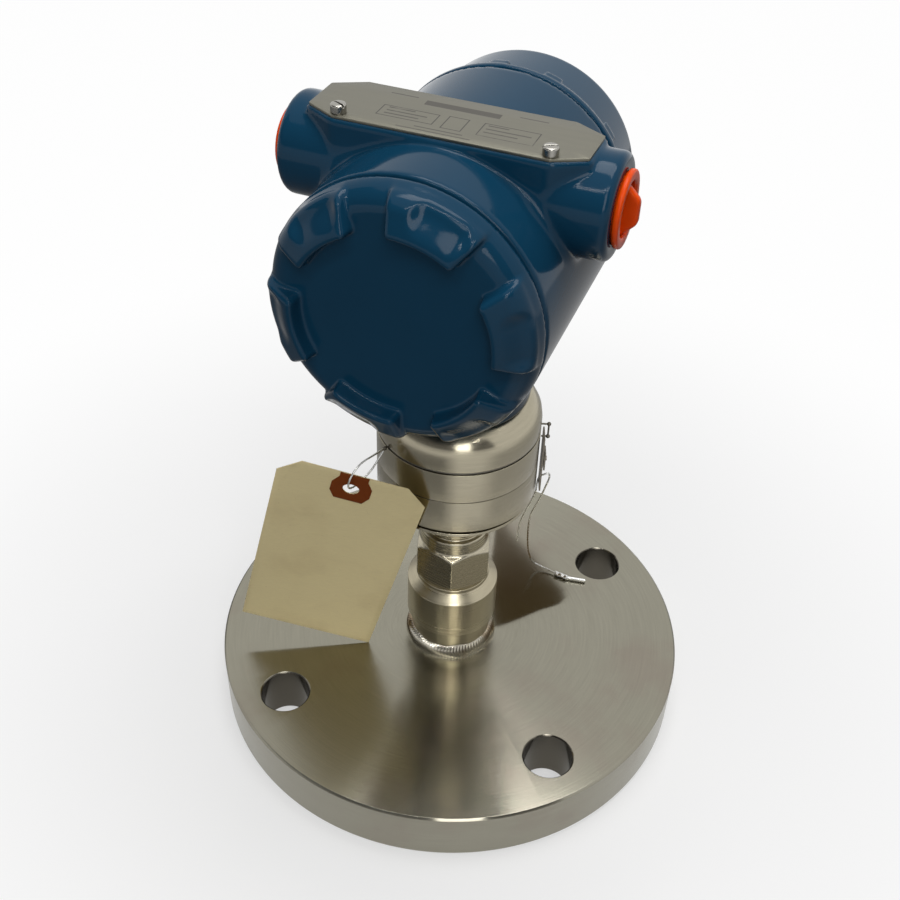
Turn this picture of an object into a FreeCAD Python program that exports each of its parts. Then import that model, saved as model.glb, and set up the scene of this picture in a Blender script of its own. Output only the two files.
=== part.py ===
import FreeCAD, Part
import collections
import math
import operator
import os
import types

import Sketcher

# Pressure transmitter on a flanged seal. Frame: origin at the centre of the flange's sealing face,
# +Z up the stem, the terminal-side cover faces -Y and the conduit entries point along -X and +X.

# Driving dimensions, millimetres and degrees
SIZES = {
    # flange and its seal
    "flange_radius": 95.25,
    "flange_thickness": 22.3,
    "flange_edge_chamfer": 0.8,
    "raised_face_inset": 31.75,
    "raised_face_height": 1.6,
    "bolt_circle_inset": 19.05,
    "bolt_hole_radius": 9.525,
    "bolt_angle": 51.2,
    "diaphragm_radius": 44.5,
    "diaphragm_recess": 1.0,
    "diaphragm_rim": 3.0,
    "diaphragm_thickness": 0.25,
    "diaphragm_wave": 0.3,
    "diaphragm_fluid_gap": 0.15,
    "fill_tube_radius": 1.6,
    "fill_tube_bore_radius": 0.5,
    # welded collar and hexagon adapter
    "collar_root_radius": 16.4,
    "collar_root_height": 12.9,
    "collar_radius": 18.3,
    "collar_height": 18.0,
    "collar_cone_height": 3.2,
    "collar_cone_radius": 14.7,
    "collar_land_height": 1.6,
    "weld_bead_width": 1.2,
    "weld_bead_height": 4.8,
    "hex_across_flats": 28.2,
    "hex_height": 18.4,
    "hex_bevel_inset": 0.4,
    "hex_bevel_drop": 1.6,
    "hex_foot_rise": 2.6,
    "hex_corner_angle": -71.5,
    "stem_radius": 13.55,
    "stem_groove_share": 0.254,
    "stem_groove_width": 2.7,
    "stem_groove_depth": 1.8,
    # sensor module
    "module_radius": 30.2,
    "sensor_base_height": 18.0,
    "base_ring_inset": 1.2,
    "base_ring_height": 1.5,
    "base_groove_depth": 2.0,
    "base_groove_height": 2.2,
    "sensor_can_height": 28.4,
    "sensor_can_wall": 3.2,
    "shoulder_radius": 10.0,
    "wire_groove_rise": 13.0,
    "wire_groove_width": 1.2,
    "wire_groove_depth": 0.9,
    "swivel_radius": 17.0,
    "swivel_height": 16.2,
    "swivel_wall": 3.0,
    "swivel_seal_rise": 5.0,
    "swivel_seal_depth": 1.6,
    "swivel_seal_width": 2.2,
    "cell_radius": 14.0,
    "cell_height": 8.6,
    "cell_seat": 2.0,
    "sensor_board_radius": 23.0,
    "board_thickness": 1.6,
    "post_radius": 2.0,
    "post_height": 8.0,
    "post_circle_radius": 19.5,
    "header_length": 16.0,
    "header_width": 7.0,
    "header_height": 6.0,
    # housing casting, measured from the barrel's axis
    "barrel_height": 212.5,
    "neck_rise": 62.5,
    "barrel_radius": 43.2,
    "barrel_front_reach": 48.0,
    "barrel_rear_reach": 33.1,
    "barrel_edge_radius": 0.8,
    "cover_wall": 6.6,
    "cover_thread_depth": 14.0,
    "chamber_step": 1.6,
    "bulkhead_half_thickness": 2.5,
    "seal_step": 2.2,
    "seal_depth": 3.0,
    "boss_radius": 16.2,
    "boss_reach": 52.0,
    "boss_drop": 0.5,
    "boss_forward": 13.8,
    "boss_edge_radius": 2.4,
    "conduit_radius": 10.5,
    "conduit_depth": 31.6,
    "saddle_lift": 1.8,
    "saddle_depth": 17.0,
    "junction_radius": 3.0,
    "saddle_edge_radius": 0.7,
    "neck_radius": 25.0,
    "neck_flare_radius": 28.5,
    "neck_flare_depth": 13.0,
    "cable_way_radius": 6.0,
    "cable_way_back": 11.0,
    "set_screw_radius": 3.0,
    "set_screw_length": 6.4,
    "set_screw_rise": 7.0,
    "set_screw_socket_radius": 1.7,
    "set_screw_socket_depth": 3.0,
    # nameplate
    "plate_half_length": 43.3,
    "plate_half_width": 13.1,
    "plate_forward": 0.7,
    "plate_side_half_length": 33.2,
    "plate_end_half_width": 7.7,
    "plate_thickness": 0.8,
    "plate_margin": 0.8,
    "plate_screw_side": 32.5,
    "plate_screw_forward": 10.0,
    "plate_screw_head_radius": 2.4,
    "plate_screw_head_height": 2.8,
    "plate_screw_shank_radius": 1.3,
    # covers and their seals, heights from the housing's rim outward
    "seam_gap": 0.8,
    "spigot_length": 11.0,
    "spigot_wall": 2.9,
    "front_edge_radius": 8.0,
    "front_face_height": 9.5,
    "front_wall": 4.5,
    "front_lug_inner_inset": 12.6,
    "front_lug_inset": 0.7,
    "front_lug_height": 6.5,
    "front_lug_fall": 5.2,
    "front_lug_round": 4.0,
    "front_lug_span": 40.0,
    "front_scoop_span": 25.0,
    "front_scoop_inset": 7.5,
    "front_scoop_run": 1.4,
    "front_scoop_depth": 2.4,
    "front_lug_angle": 13.3,
    "rear_rim_height": 3.8,
    "rear_lug_sink": 1.4,
    "rear_lug_inset": 0.4,
    "rear_lug_height": 5.4,
    "rear_lug_fall": 1.2,
    "rear_lug_round": 1.4,
    "rear_lug_span": 44.0,
    "rear_scoop_span": 26.0,
    "rear_scoop_inset": 3.2,
    "rear_scoop_run": 0.6,
    "rear_scoop_depth": 3.0,
    "rear_lug_angle": -54.4,
    "lug_root": 1.0,
    "scoop_reach": 2.0,
    "hood_height": 29.6,
    "hood_root_inset": 2.4,
    "hood_tip_inset": 4.4,
    "hood_edge_radius": 2.4,
    "hood_end_wall": 3.4,
    "window_seat": 5.4,
    "window_gasket_thickness": 0.8,
    "window_glass_thickness": 5.0,
    "window_glass_inset": 0.8,
    "window_ring_height": 4.0,
    # conduit plugs
    "plug_rim_radius": 11.7,
    "plug_rim_height": 2.0,
    "plug_stem_length": 13.0,
    "plug_recess_radius": 8.4,
    "plug_floor": 2.0,
    "fin_thickness": 2.6,
    "fin_root_half_length": 8.0,
    "fin_tip_half_length": 3.8,
    "fin_rise": 3.2,
    # terminal side
    "terminal_block_gap": 5.0,
    "terminal_block_flat": 9.0,
    "terminal_block_depth": 17.0,
    "terminal_pitch": 14.0,
    "terminal_drop": 6.0,
    "terminal_well_width": 11.0,
    "terminal_well_height": 13.0,
    "terminal_well_depth": 6.0,
    "terminal_screw_radius": 4.2,
    "terminal_screw_height": 2.6,
    "ground_screw_rise": 14.5,
    "ground_screw_radius": 3.6,
    "ground_screw_height": 3.0,
    # electronics side
    "standoff_radius": 2.5,
    "standoff_height": 7.0,
    "standoff_inset": 6.0,
    "main_board_gap": 5.0,
    "electronics_gap": 6.5,
    "electronics_depth": 17.0,
    "display_gap": 1.0,
    "display_depth": 21.0,
    "lcd_width": 38.0,
    "lcd_height": 22.0,
    "lcd_thickness": 1.5,
    "display_screw_offset": 17.5,
    "display_screw_radius": 2.4,
    "display_screw_height": 1.4,
    # card tag, steel tags and wires
    "card_width": 54.0,
    "card_height": 108.0,
    "card_thickness": 0.35,
    "card_corner_cut": 7.9,
    "card_hole_radius": 3.0,
    "card_hole_drop": 8.6,
    "card_foot_side": -27.7,
    "card_foot_tuck": 7.2,
    "card_foot_lift": 0.1,
    "card_yaw": 16.6,
    "card_pitch": 5.4,
    "card_roll": 16.3,
    "patch_thickness": 0.25,
    "patch_top_half_width": 5.2,
    "patch_half_width": 7.3,
    "patch_height": 15.6,
    "wire_radius": 0.35,
    "card_wire_angle": -126.0,
    "steel_tag_angle": 19.9,
    "steel_tag_gap": 1.1,
    "steel_tag_thickness": 0.6,
    "steel_tag_width": 8.0,
    "steel_tag_height": 25.0,
    "steel_tag_hole_radius": 1.3,
    "steel_tag_hole_drop": 2.2,
    "steel_tag_lower_hole_rise": 4.4,
    "small_tag_width": 5.0,
    "small_tag_height": 8.0,
    "small_tag_gap": 0.4,
    "small_tag_drop": 11.9,
    "rivet_radius": 0.9,
    "rivet_rise": 0.5,
    "tag_hook_drop": 5.75,
    "wire_end_radius": 0.8,
    "crimp_radius": 1.1,
    "crimp_tube_radius": 0.7,
    # clearances
    "body_gap": 0.3,
    "fit_gap": 0.06,
}

BOLT_COUNT = 4
CORRUGATIONS = 4
HEX_SIDES = 6
LUG_COUNT = 6
POST_COUNT = 3
TERMINAL_COUNT = 3
FULL_TURN = 360.0

# Wire routes: how far out and aside as shares of the module's radius, the level as a share of the way from
# the flange up to the wire groove, and the rise from that level as a share of the tag that hangs there
CARD_WIRE_ROUTE = [
    (0.8642, -0.6126, 1, 0.0019),
    (1.0464, -0.6424, 1, 0.0148),
    (1.2781, -0.7252, 0, 1.0509),
    (1.4238, -0.7848, 0, 1.0157),
    (1.4238, -0.8212, 0, 0.9676),
    (1.298, -0.8245, 0, 0.938),
    (1.1457, -0.7748, 0.5, 0.4264),
    (0.9934, -0.6821, 1, -0.0574),
    (0.8576, -0.6192, 1, -0.0074),
]
SEAL_WIRE_ROUTE = [
    (1.0182, 0, 1, -1.24),
    (1.0182, 0, 1, -1.04),
    (1.0927, 0, 1, -0.984),
    (1.1556, 0.0066, 1, -0.952),
    (1.1755, 0.0166, 1, -1.048),
    (1.1424, 0.0232, 1, -1.212),
    (1.088, 0.0994, 0.9, -1.1318),
    (1.0507, 0.2318, 0.8, -0.9931),
    (1.0019, 0.3974, 0.75, -1.1785),
    (1.0173, 0.6623, 0.6, -1.2019),
    (1.0638, 0.9272, 0.3, -0.583),
    (1.1253, 1.0365, 0, 0.404),
    (1.1797, 1.1576, 0, 0.14),
    (1.3387, 1.1494, 0, 0.052),
    (1.4979, 1.0442, 0, 0.044),
]
SEAL_WIRE_SHORT_ROUTE = [
    (1.0182, 0, 1, -1.24),
    (1.0182, 0, 1, -1.352),
    (0.9493, 0.0994, 1, -1.7418),
    (0.8869, 0.1987, 1, -2.1101),
    (0.8506, 0.2649, 1, -2.4513),
    (0.8566, 0.298, 1, -2.758),
]
CRIMP_START = (1.5035, 1.0404)
CRIMP_END = (1.6898, 0.9519)
CRIMP_TUBE_END = (1.9484, 0.9075)
CARD_SIDE = -90.0
ARC_SHARE = 0.45

OPERATIONS = {"+": operator.add, "-": operator.sub, "*": operator.mul, "/": operator.truediv}

Corner = collections.namedtuple("Corner", "x y arc clockwise", defaults=(None, False))
Lug = collections.namedtuple(
    "Lug", "inner outer root foot height fall rounding span scoop_span scoop_radius scoop_run scoop_depth")

DOC = FreeCAD.newDocument("pressure_transmitter")
NODES = []


class Size:
    """A number together with the spreadsheet expression that it comes from."""

    def __init__(self, value, text):
        self.value = value
        self.text = text

    def join(self, sign, other):
        value = OPERATIONS[sign](self.value, other.value)
        return Size(value, f"({self.text} {sign} {other.text})")

    def __add__(self, other):
        return self.join("+", as_size(other))

    def __radd__(self, other):
        return as_size(other).join("+", self)

    def __sub__(self, other):
        return self.join("-", as_size(other))

    def __rsub__(self, other):
        return as_size(other).join("-", self)

    def __mul__(self, other):
        return self.join("*", as_size(other))

    def __rmul__(self, other):
        return as_size(other).join("*", self)

    def __truediv__(self, other):
        return self.join("/", as_size(other))

    def __neg__(self):
        return as_size(0).join("-", self)


def as_size(number):
    """Wrap a plain number, and leave a size as it is."""
    if isinstance(number, Size):
        return number
    return Size(float(number), f"({number:.10g})")


def make_sheet():
    """Fill the spreadsheet and return its cells as sizes."""
    sheet = DOC.addObject("Spreadsheet::Sheet", "dims")
    for row, (name, value) in enumerate(SIZES.items(), start=1):
        sheet.set(f"A{row}", name)
        sheet.set(f"B{row}", str(value))
        sheet.setAlias(f"B{row}", name)
    DOC.recompute()
    cells = {name: Size(float(sheet.get(name)), f"dims.{name}") for name in SIZES}
    return types.SimpleNamespace(**cells)


def make_levels(d):
    """Heights and radii that several pieces share, worked out from the sheet."""
    lv = types.SimpleNamespace()
    lv.raised_face_radius = d.flange_radius - d.raised_face_inset
    lv.bolt_circle_radius = d.flange_radius - d.bolt_circle_inset
    lv.flange_top = d.raised_face_height + d.flange_thickness
    lv.cone_foot = lv.flange_top + d.collar_root_height + d.collar_height
    lv.cone_top = lv.cone_foot + d.collar_cone_height
    lv.collar_top = lv.cone_top + d.collar_land_height
    lv.hex_top = lv.collar_top + d.hex_height
    lv.can_top = d.barrel_height - d.neck_rise
    lv.base_top = lv.can_top - d.sensor_can_height
    lv.base_bottom = lv.base_top - d.sensor_base_height
    lv.swivel_top = lv.can_top + d.swivel_height
    lv.wire_groove_mid = lv.base_top + d.wire_groove_rise + d.wire_groove_width / 2
    lv.wire_ring_radius = d.module_radius - d.wire_groove_depth + d.wire_radius
    lv.tag_hook_level = lv.wire_groove_mid - d.tag_hook_drop
    lv.saddle_rise = d.barrel_radius + d.saddle_lift
    lv.boss_rise = lv.saddle_rise - d.boss_drop - d.boss_radius
    lv.neck_bottom = lv.can_top + d.body_gap - d.barrel_height
    lv.neck_bore_top = lv.swivel_top + d.body_gap - d.barrel_height
    lv.neck_bore_radius = d.swivel_radius + d.fit_gap
    lv.cover_bore_radius = d.barrel_radius - d.cover_wall
    lv.chamber_radius = lv.cover_bore_radius - d.chamber_step
    lv.seal_bore_radius = lv.cover_bore_radius + d.seal_step
    lv.spigot_radius = lv.cover_bore_radius - d.body_gap
    lv.spigot_bore_radius = lv.spigot_radius - d.spigot_wall
    lv.window_radius = lv.spigot_bore_radius - d.window_seat
    lv.hood_root_radius = d.barrel_radius - d.hood_root_inset
    lv.hood_tip_radius = d.barrel_radius - d.hood_tip_inset
    lv.plug_stem_radius = d.conduit_radius - d.fit_gap
    lv.board_top = d.bulkhead_half_thickness + d.standoff_height + d.board_thickness
    lv.electronics_top = lv.board_top + d.electronics_depth
    lv.display_top = lv.electronics_top + d.display_depth
    return lv


def move(x, y, z):
    """Expression of a placement that only shifts."""
    x, y, z = as_size(x), as_size(y), as_size(z)
    shift = f"create(<<vector>>; {x.text}; {y.text}; {z.text})"
    return f"create(<<placement>>; {shift}; create(<<rotation>>; create(<<vector>>; 0; 0; 1); 0))"


def turn(axis, angle):
    """Expression of a placement that only turns about an axis through the origin."""
    x, y, z = axis
    spin = f"create(<<rotation>>; create(<<vector>>; {x}; {y}; {z}); {as_size(angle).text})"
    return f"create(<<placement>>; create(<<vector>>; 0; 0; 0); {spin})"


AXIS_X = (1, 0, 0)
AXIS_Y = (0, 1, 0)
AXIS_Z = (0, 0, 1)


def place(item, *steps):
    """Tie an object's placement to a product of moves and turns."""
    if steps:
        item.setExpression("Placement", " * ".join(steps))


def keep(item, label):
    """Give a finished sub-part its name and list it for export."""
    item.Label = label
    NODES.append(item)
    DOC.recompute()
    return item


def new_body(name, *steps):
    """Start a sub-part in its own frame."""
    body = DOC.addObject("PartDesign::Body", name)
    place(body, *steps)
    return body


def origin_part(body, role):
    """The body's own origin plane or axis with this role."""
    return next(item for item in body.Origin.OriginFeatures if item.Role == role)


def new_sketch(body, name, plane, lift=None):
    """A sketch on an origin plane, lifted along its normal if asked."""
    sketch = body.newObject("Sketcher::SketchObject", name)
    sketch.AttachmentSupport = [(origin_part(body, plane), "")]
    sketch.MapMode = "FlatFace"
    if lift is not None:
        sketch.setExpression("AttachmentOffset.Base.z", lift.text)
    return sketch


def fix_point(sketch, edge, end, x, y):
    """Tie one end of an edge to its two coordinates."""
    for kind, axis, value in (("DistanceX", -2, x), ("DistanceY", -1, y)):
        if isinstance(value, int) and value == 0:
            sketch.addConstraint(Sketcher.Constraint("PointOnObject", edge, end, axis))
            continue
        size = as_size(value)
        index = sketch.addConstraint(Sketcher.Constraint(kind, edge, end, size.value))
        sketch.setExpression(f"Constraints[{index}]", size.text)


def add_arc(sketch, start, end, radius, clockwise):
    """Add the short arc between two points and return its edge with its start and end numbers."""
    chord = end - start
    height = math.sqrt(radius ** 2 - (chord.Length / 2) ** 2)
    left = FreeCAD.Vector(-chord.y, chord.x, 0).normalize()
    centre = (start + end) / 2 + left * (-height if clockwise else height)
    first, last = (end, start) if clockwise else (start, end)
    angles = [math.atan2(p.y - centre.y, p.x - centre.x) for p in (first, last)]
    circle = Part.Circle(centre, FreeCAD.Vector(0, 0, 1), radius)
    edge = sketch.addGeometry(Part.ArcOfCircle(circle, *angles), False)
    return (edge, 2, 1) if clockwise else (edge, 1, 2)


def outline(sketch, corners):
    """Close a loop through the corners, with an arc after each corner that gives one."""
    corners = [Corner(*corner) for corner in corners]
    points = [FreeCAD.Vector(as_size(c.x).value, as_size(c.y).value, 0) for c in corners]
    ends = points[1:] + points[:1]
    edges = []
    for corner, start, end in zip(corners, points, ends):
        if corner.arc is None:
            edges.append((sketch.addGeometry(Part.LineSegment(start, end), False), 1, 2))
        else:
            edges.append(add_arc(sketch, start, end, corner.arc.value, corner.clockwise))
    for (edge, _, last), (follower, first, _) in zip(edges, edges[1:] + edges[:1]):
        sketch.addConstraint(Sketcher.Constraint("Coincident", edge, last, follower, first))
    for corner, (edge, first, _) in zip(corners, edges):
        fix_point(sketch, edge, first, corner.x, corner.y)
        if corner.arc is not None:
            index = sketch.addConstraint(Sketcher.Constraint("Radius", edge, corner.arc.value))
            sketch.setExpression(f"Constraints[{index}]", corner.arc.text)
    return sketch


def ring(sketch, x, y, radius):
    """Add a full circle tied to its centre and radius."""
    centre = FreeCAD.Vector(as_size(x).value, as_size(y).value, 0)
    edge = sketch.addGeometry(Part.Circle(centre, FreeCAD.Vector(0, 0, 1), radius.value), False)
    fix_point(sketch, edge, 3, x, y)
    index = sketch.addConstraint(Sketcher.Constraint("Radius", edge, radius.value))
    sketch.setExpression(f"Constraints[{index}]", radius.text)
    return sketch


def settle(body, feature, volume_before, adds):
    """Recompute and make sure that the feature changed the body as it should."""
    DOC.recompute()
    gained = feature.Shape.Volume - volume_before
    if (gained > 0) != adds:
        raise ValueError(f"{body.Name}.{feature.Name} changed the volume by {gained:.3f}")
    return feature


def body_volume(body):
    """Volume of the body so far, zero before its first feature."""
    return body.Tip.Shape.Volume if body.Tip else 0.0


def revolve(body, name, corners, axis="Z_Axis", plane="XZ_Plane", span=None, cut=False):
    """Turn an outline about an axis, all the way or over a span centred on the sketch."""
    before = body_volume(body)
    sketch = outline(new_sketch(body, f"{name}_outline", plane), corners)
    feature = body.newObject("PartDesign::Groove" if cut else "PartDesign::Revolution", name)
    feature.Profile = sketch
    feature.ReferenceAxis = (origin_part(body, axis), [""])
    feature.Angle = FULL_TURN
    if span is not None:
        feature.Midplane = True
        feature.setExpression("Angle", span.text)
    return settle(body, feature, before, not cut)


def extrude(body, name, sketch, length, cut=False, flip=False, both=False):
    """Pad or pocket a sketch by a length."""
    before = body_volume(body)
    feature = body.newObject("PartDesign::Pocket" if cut else "PartDesign::Pad", name)
    feature.Profile = sketch
    feature.setExpression("Length", length.text)
    feature.Reversed = flip
    feature.Midplane = both
    return settle(body, feature, before, not cut)


def repeat_around(body, name, features, count, axis="Z_Axis"):
    """Repeat features evenly about an axis."""
    pattern = body.newObject("PartDesign::PolarPattern", name)
    pattern.Originals = features
    pattern.Axis = (origin_part(body, axis), [""])
    pattern.Angle = FULL_TURN
    pattern.Occurrences = count
    body.Tip = pattern
    DOC.recompute()
    return pattern


def mirror(body, name, features, plane):
    """Mirror features in an origin plane."""
    pattern = body.newObject("PartDesign::Mirrored", name)
    pattern.Originals = features
    pattern.MirrorPlane = (origin_part(body, plane), [""])
    body.Tip = pattern
    DOC.recompute()
    return pattern


def soften(body, name, radius, wanted, kind="PartDesign::Fillet"):
    """Round every edge of the body's tip that the test picks."""
    base = body.Tip
    edges = [f"Edge{i}" for i, edge in enumerate(base.Shape.Edges, start=1) if wanted(base.Shape, edge)]
    feature = body.newObject(kind, name)
    feature.Base = (base, edges)
    feature.setExpression("Radius", radius.text)
    DOC.recompute()
    return feature


def solid(kind, name, sizes, *steps):
    """A primitive with its sizes and placement tied to the sheet."""
    item = DOC.addObject(kind, name)
    for key, size in sizes.items():
        item.setExpression(key, as_size(size).text)
    place(item, *steps)
    return item


def cylinder(name, radius, height, *steps):
    return solid("Part::Cylinder", name, {"Radius": radius, "Height": height}, *steps)


def box(name, length, width, height, *steps):
    return solid("Part::Box", name, {"Length": length, "Width": width, "Height": height}, *steps)


def subtract(name, base, tool):
    """Cut one object out of another."""
    item = DOC.addObject("Part::Cut", name)
    item.Base = base
    item.Tool = tool
    return item


def fuse(name, members):
    """Fuse objects into one solid."""
    item = DOC.addObject("Part::MultiFuse", name)
    item.Shapes = members
    return item


def group(name, members):
    """Hold separate like solids as one sub-part."""
    item = DOC.addObject("Part::Compound", name)
    item.Links = members
    return item


def build_flange(d, lv):
    """Raised-face flange with its bolt holes and the shallow seat of the diaphragm."""
    body = new_body("flange", turn(AXIS_Z, d.bolt_angle))
    chamfer = d.flange_edge_chamfer
    revolve(body, "disc", [
        (d.fill_tube_radius, d.diaphragm_recess),
        (d.diaphragm_radius, d.diaphragm_recess),
        (d.diaphragm_radius, 0),
        (lv.raised_face_radius, 0),
        (lv.raised_face_radius, d.raised_face_height),
        (d.flange_radius - chamfer, d.raised_face_height),
        (d.flange_radius, d.raised_face_height + chamfer),
        (d.flange_radius, lv.flange_top - chamfer),
        (d.flange_radius - chamfer, lv.flange_top),
        (d.fill_tube_radius, lv.flange_top),
    ])
    hole = ring(new_sketch(body, "hole_outline", "XY_Plane"), lv.bolt_circle_radius, 0, d.bolt_hole_radius)
    bolt_hole = extrude(body, "bolt_hole", hole, lv.flange_top, cut=True, flip=True)
    repeat_around(body, "bolt_holes", [bolt_hole], BOLT_COUNT)
    keep(body, "flange")


def build_diaphragm(d):
    """Thin corrugated foil welded by its flat rim under the flange."""
    body = new_body("diaphragm")
    wave_radius = d.diaphragm_radius - d.diaphragm_rim
    crest = d.diaphragm_recess - d.diaphragm_fluid_gap
    steps = 2 * CORRUGATIONS
    upper = [(d.diaphragm_radius, d.diaphragm_recess), (wave_radius, d.diaphragm_recess)]
    for step in range(1, steps + 1):
        level = crest - d.diaphragm_wave if step % 2 else crest
        upper.append((wave_radius * (1 - step / steps) if step < steps else 0, level))
    lower = [(x, y - d.diaphragm_thickness) for x, y in reversed(upper)]
    revolve(body, "foil", upper + lower)
    keep(body, "diaphragm")


def build_fill_tube(d, lv):
    """Narrow tube that carries the fill fluid from the diaphragm to the pressure cell."""
    body = new_body("fill_tube")
    end = lv.base_top - d.cell_seat
    revolve(body, "tube", [
        (d.fill_tube_bore_radius, d.diaphragm_recess),
        (d.fill_tube_radius, d.diaphragm_recess),
        (d.fill_tube_radius, end),
        (d.fill_tube_bore_radius, end),
    ])
    keep(body, "fill_tube")


def build_collar(d, lv):
    """Turned collar on the flange, with its stepped root and conical top, and the bead that holds it."""
    body = new_body("weld_collar")
    root_top = lv.flange_top + d.collar_root_height
    revolve(body, "turned", [
        (d.fill_tube_radius, lv.flange_top),
        (d.collar_root_radius, lv.flange_top),
        (d.collar_root_radius, root_top),
        (d.collar_radius, root_top),
        (d.collar_radius, lv.cone_foot),
        (d.collar_cone_radius, lv.cone_top),
        (d.collar_cone_radius, lv.collar_top),
        (d.fill_tube_radius, lv.collar_top),
    ])
    keep(body, "weld_collar")
    bead = new_body("weld_bead")
    revolve(bead, "bead", [
        (d.collar_root_radius, lv.flange_top),
        (d.collar_root_radius + d.weld_bead_width, lv.flange_top),
        (d.collar_root_radius + d.weld_bead_width * 0.7, lv.flange_top + d.weld_bead_height * 0.6),
        (d.collar_root_radius, lv.flange_top + d.weld_bead_height),
    ])
    keep(bead, "weld_bead")


def build_hex_adapter(d, lv):
    """Hexagon with turned bevels at both ends, and above it a round grooved stem."""
    body = new_body("hex_adapter", turn(AXIS_Z, d.hex_corner_angle))
    groove_foot = lv.hex_top + (lv.base_bottom - lv.hex_top) * d.stem_groove_share
    groove_radius = d.stem_radius - d.stem_groove_depth
    revolve(body, "stem", [
        (0, lv.collar_top),
        (d.stem_radius, lv.collar_top),
        (d.stem_radius, groove_foot),
        (groove_radius, groove_foot),
        (groove_radius, groove_foot + d.stem_groove_width),
        (d.stem_radius, groove_foot + d.stem_groove_width),
        (d.stem_radius, lv.base_bottom),
        (0, lv.base_bottom),
    ])
    corner_radius = d.hex_across_flats / math.sqrt(3)
    beyond = corner_radius * 1.2
    bevel_radius = d.hex_across_flats / 2 - d.hex_bevel_inset
    bevel_foot = lv.hex_top - d.hex_bevel_drop
    foot_rise = lv.collar_top + d.hex_foot_rise
    angles = [2 * math.pi * side / HEX_SIDES for side in range(HEX_SIDES)]
    corners = [(corner_radius * math.cos(a), corner_radius * math.sin(a)) for a in angles]
    hexagon = outline(new_sketch(body, "hex_outline", "XY_Plane", lv.collar_top), corners)
    extrude(body, "hexagon", hexagon, d.hex_height)
    for name, end, far in (("bevel", lv.hex_top, bevel_foot), ("foot_bevel", lv.collar_top, foot_rise)):
        revolve(body, name, [
            (bevel_radius, end),
            (corner_radius, far),
            (beyond, far),
            (beyond, end),
        ], cut=True)
    bore = ring(new_sketch(body, "bore_outline", "XY_Plane", lv.collar_top), 0, 0, d.fill_tube_radius)
    extrude(body, "bore", bore, lv.base_bottom - lv.collar_top, cut=True, flip=True)
    keep(body, "hex_adapter")


def build_sensor_module(d, lv):
    """Stainless base and domed can, with the sensing pieces that they close in."""
    base = new_body("sensor_base")
    seat = lv.base_top - d.cell_seat
    ring_radius = d.module_radius - d.base_ring_inset
    ring_top = lv.base_bottom + d.base_ring_height
    base_groove_radius = d.module_radius - d.base_groove_depth
    skirt_foot = ring_top + d.base_groove_height
    revolve(base, "turned", [
        (d.fill_tube_radius, lv.base_bottom),
        (ring_radius, lv.base_bottom),
        (ring_radius, ring_top),
        (base_groove_radius, ring_top),
        (base_groove_radius, skirt_foot),
        (d.module_radius, skirt_foot),
        (d.module_radius, lv.base_top),
        (d.cell_radius, lv.base_top),
        (d.cell_radius, seat),
        (d.fill_tube_radius, seat),
    ])
    keep(base, "sensor_base")

    can = new_body("sensor_can")
    groove_foot = lv.base_top + d.wire_groove_rise
    groove_top = groove_foot + d.wire_groove_width
    groove_radius = d.module_radius - d.wire_groove_depth
    shoulder_foot = lv.can_top - d.shoulder_radius
    dome_radius = d.module_radius - d.shoulder_radius
    inner_radius = d.module_radius - d.sensor_can_wall
    seal_foot = lv.can_top + d.swivel_seal_rise
    seal_top = seal_foot + d.swivel_seal_width
    seal_radius = d.swivel_radius - d.swivel_seal_depth
    revolve(can, "spun", [
        (d.module_radius, lv.base_top),
        (d.module_radius, groove_foot),
        (groove_radius, groove_foot),
        (groove_radius, groove_top),
        (d.module_radius, groove_top),
        (d.module_radius, shoulder_foot, d.shoulder_radius),
        (dome_radius, lv.can_top),
        (d.swivel_radius, lv.can_top),
        (d.swivel_radius, seal_foot),
        (seal_radius, seal_foot),
        (seal_radius, seal_top),
        (d.swivel_radius, seal_top),
        (d.swivel_radius, lv.swivel_top),
        (d.swivel_radius - d.swivel_wall, lv.swivel_top),
        (d.swivel_radius - d.swivel_wall, lv.can_top - d.sensor_can_wall),
        (dome_radius, lv.can_top - d.sensor_can_wall),
        (inner_radius, shoulder_foot),
        (inner_radius, lv.base_top),
    ])
    keep(can, "sensor_can")

    seal_sizes = {
        "Radius1": d.swivel_radius - d.swivel_seal_depth / 2,
        "Radius2": d.swivel_seal_depth / 2,
    }
    seal_mid = seal_foot + d.swivel_seal_width / 2
    keep(solid("Part::Torus", "swivel_seal", seal_sizes, move(0, 0, seal_mid)), "swivel_seal")
    keep(cylinder("pressure_cell", d.cell_radius, d.cell_height, move(0, 0, seat)), "pressure_cell")

    posts = []
    for index in range(POST_COUNT):
        spot = turn(AXIS_Z, index * FULL_TURN / POST_COUNT)
        out = move(d.post_circle_radius, 0, lv.base_top)
        posts.append(cylinder(f"board_post_{index}", d.post_radius, d.post_height, spot, out))
    keep(group("board_posts", posts), "board_posts")
    board_foot = lv.base_top + d.post_height
    board = cylinder("sensor_board", d.sensor_board_radius, d.board_thickness, move(0, 0, board_foot))
    keep(board, "sensor_board")
    corner = move(-d.header_length / 2, -d.header_width / 2, board_foot + d.board_thickness)
    header = box("signal_header", d.header_length, d.header_width, d.header_height, corner)
    keep(header, "signal_header")


def octagon(d, margin):
    """Corners of the nameplate's outline, grown by a margin, about its own middle."""
    long_half = d.plate_half_length + margin
    wide_half = d.plate_half_width + margin
    side = d.plate_side_half_length + margin / 2
    end = d.plate_end_half_width + margin / 2
    return [
        (long_half, -end),
        (long_half, end),
        (side, wide_half),
        (-side, wide_half),
        (-long_half, end),
        (-long_half, -end),
        (-side, -wide_half),
        (side, -wide_half),
    ]


def shifted(corners, x, y):
    """Move an outline by x and y."""
    return [(as_size(cx) + x, as_size(cy) + y) for cx, cy in corners]


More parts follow.
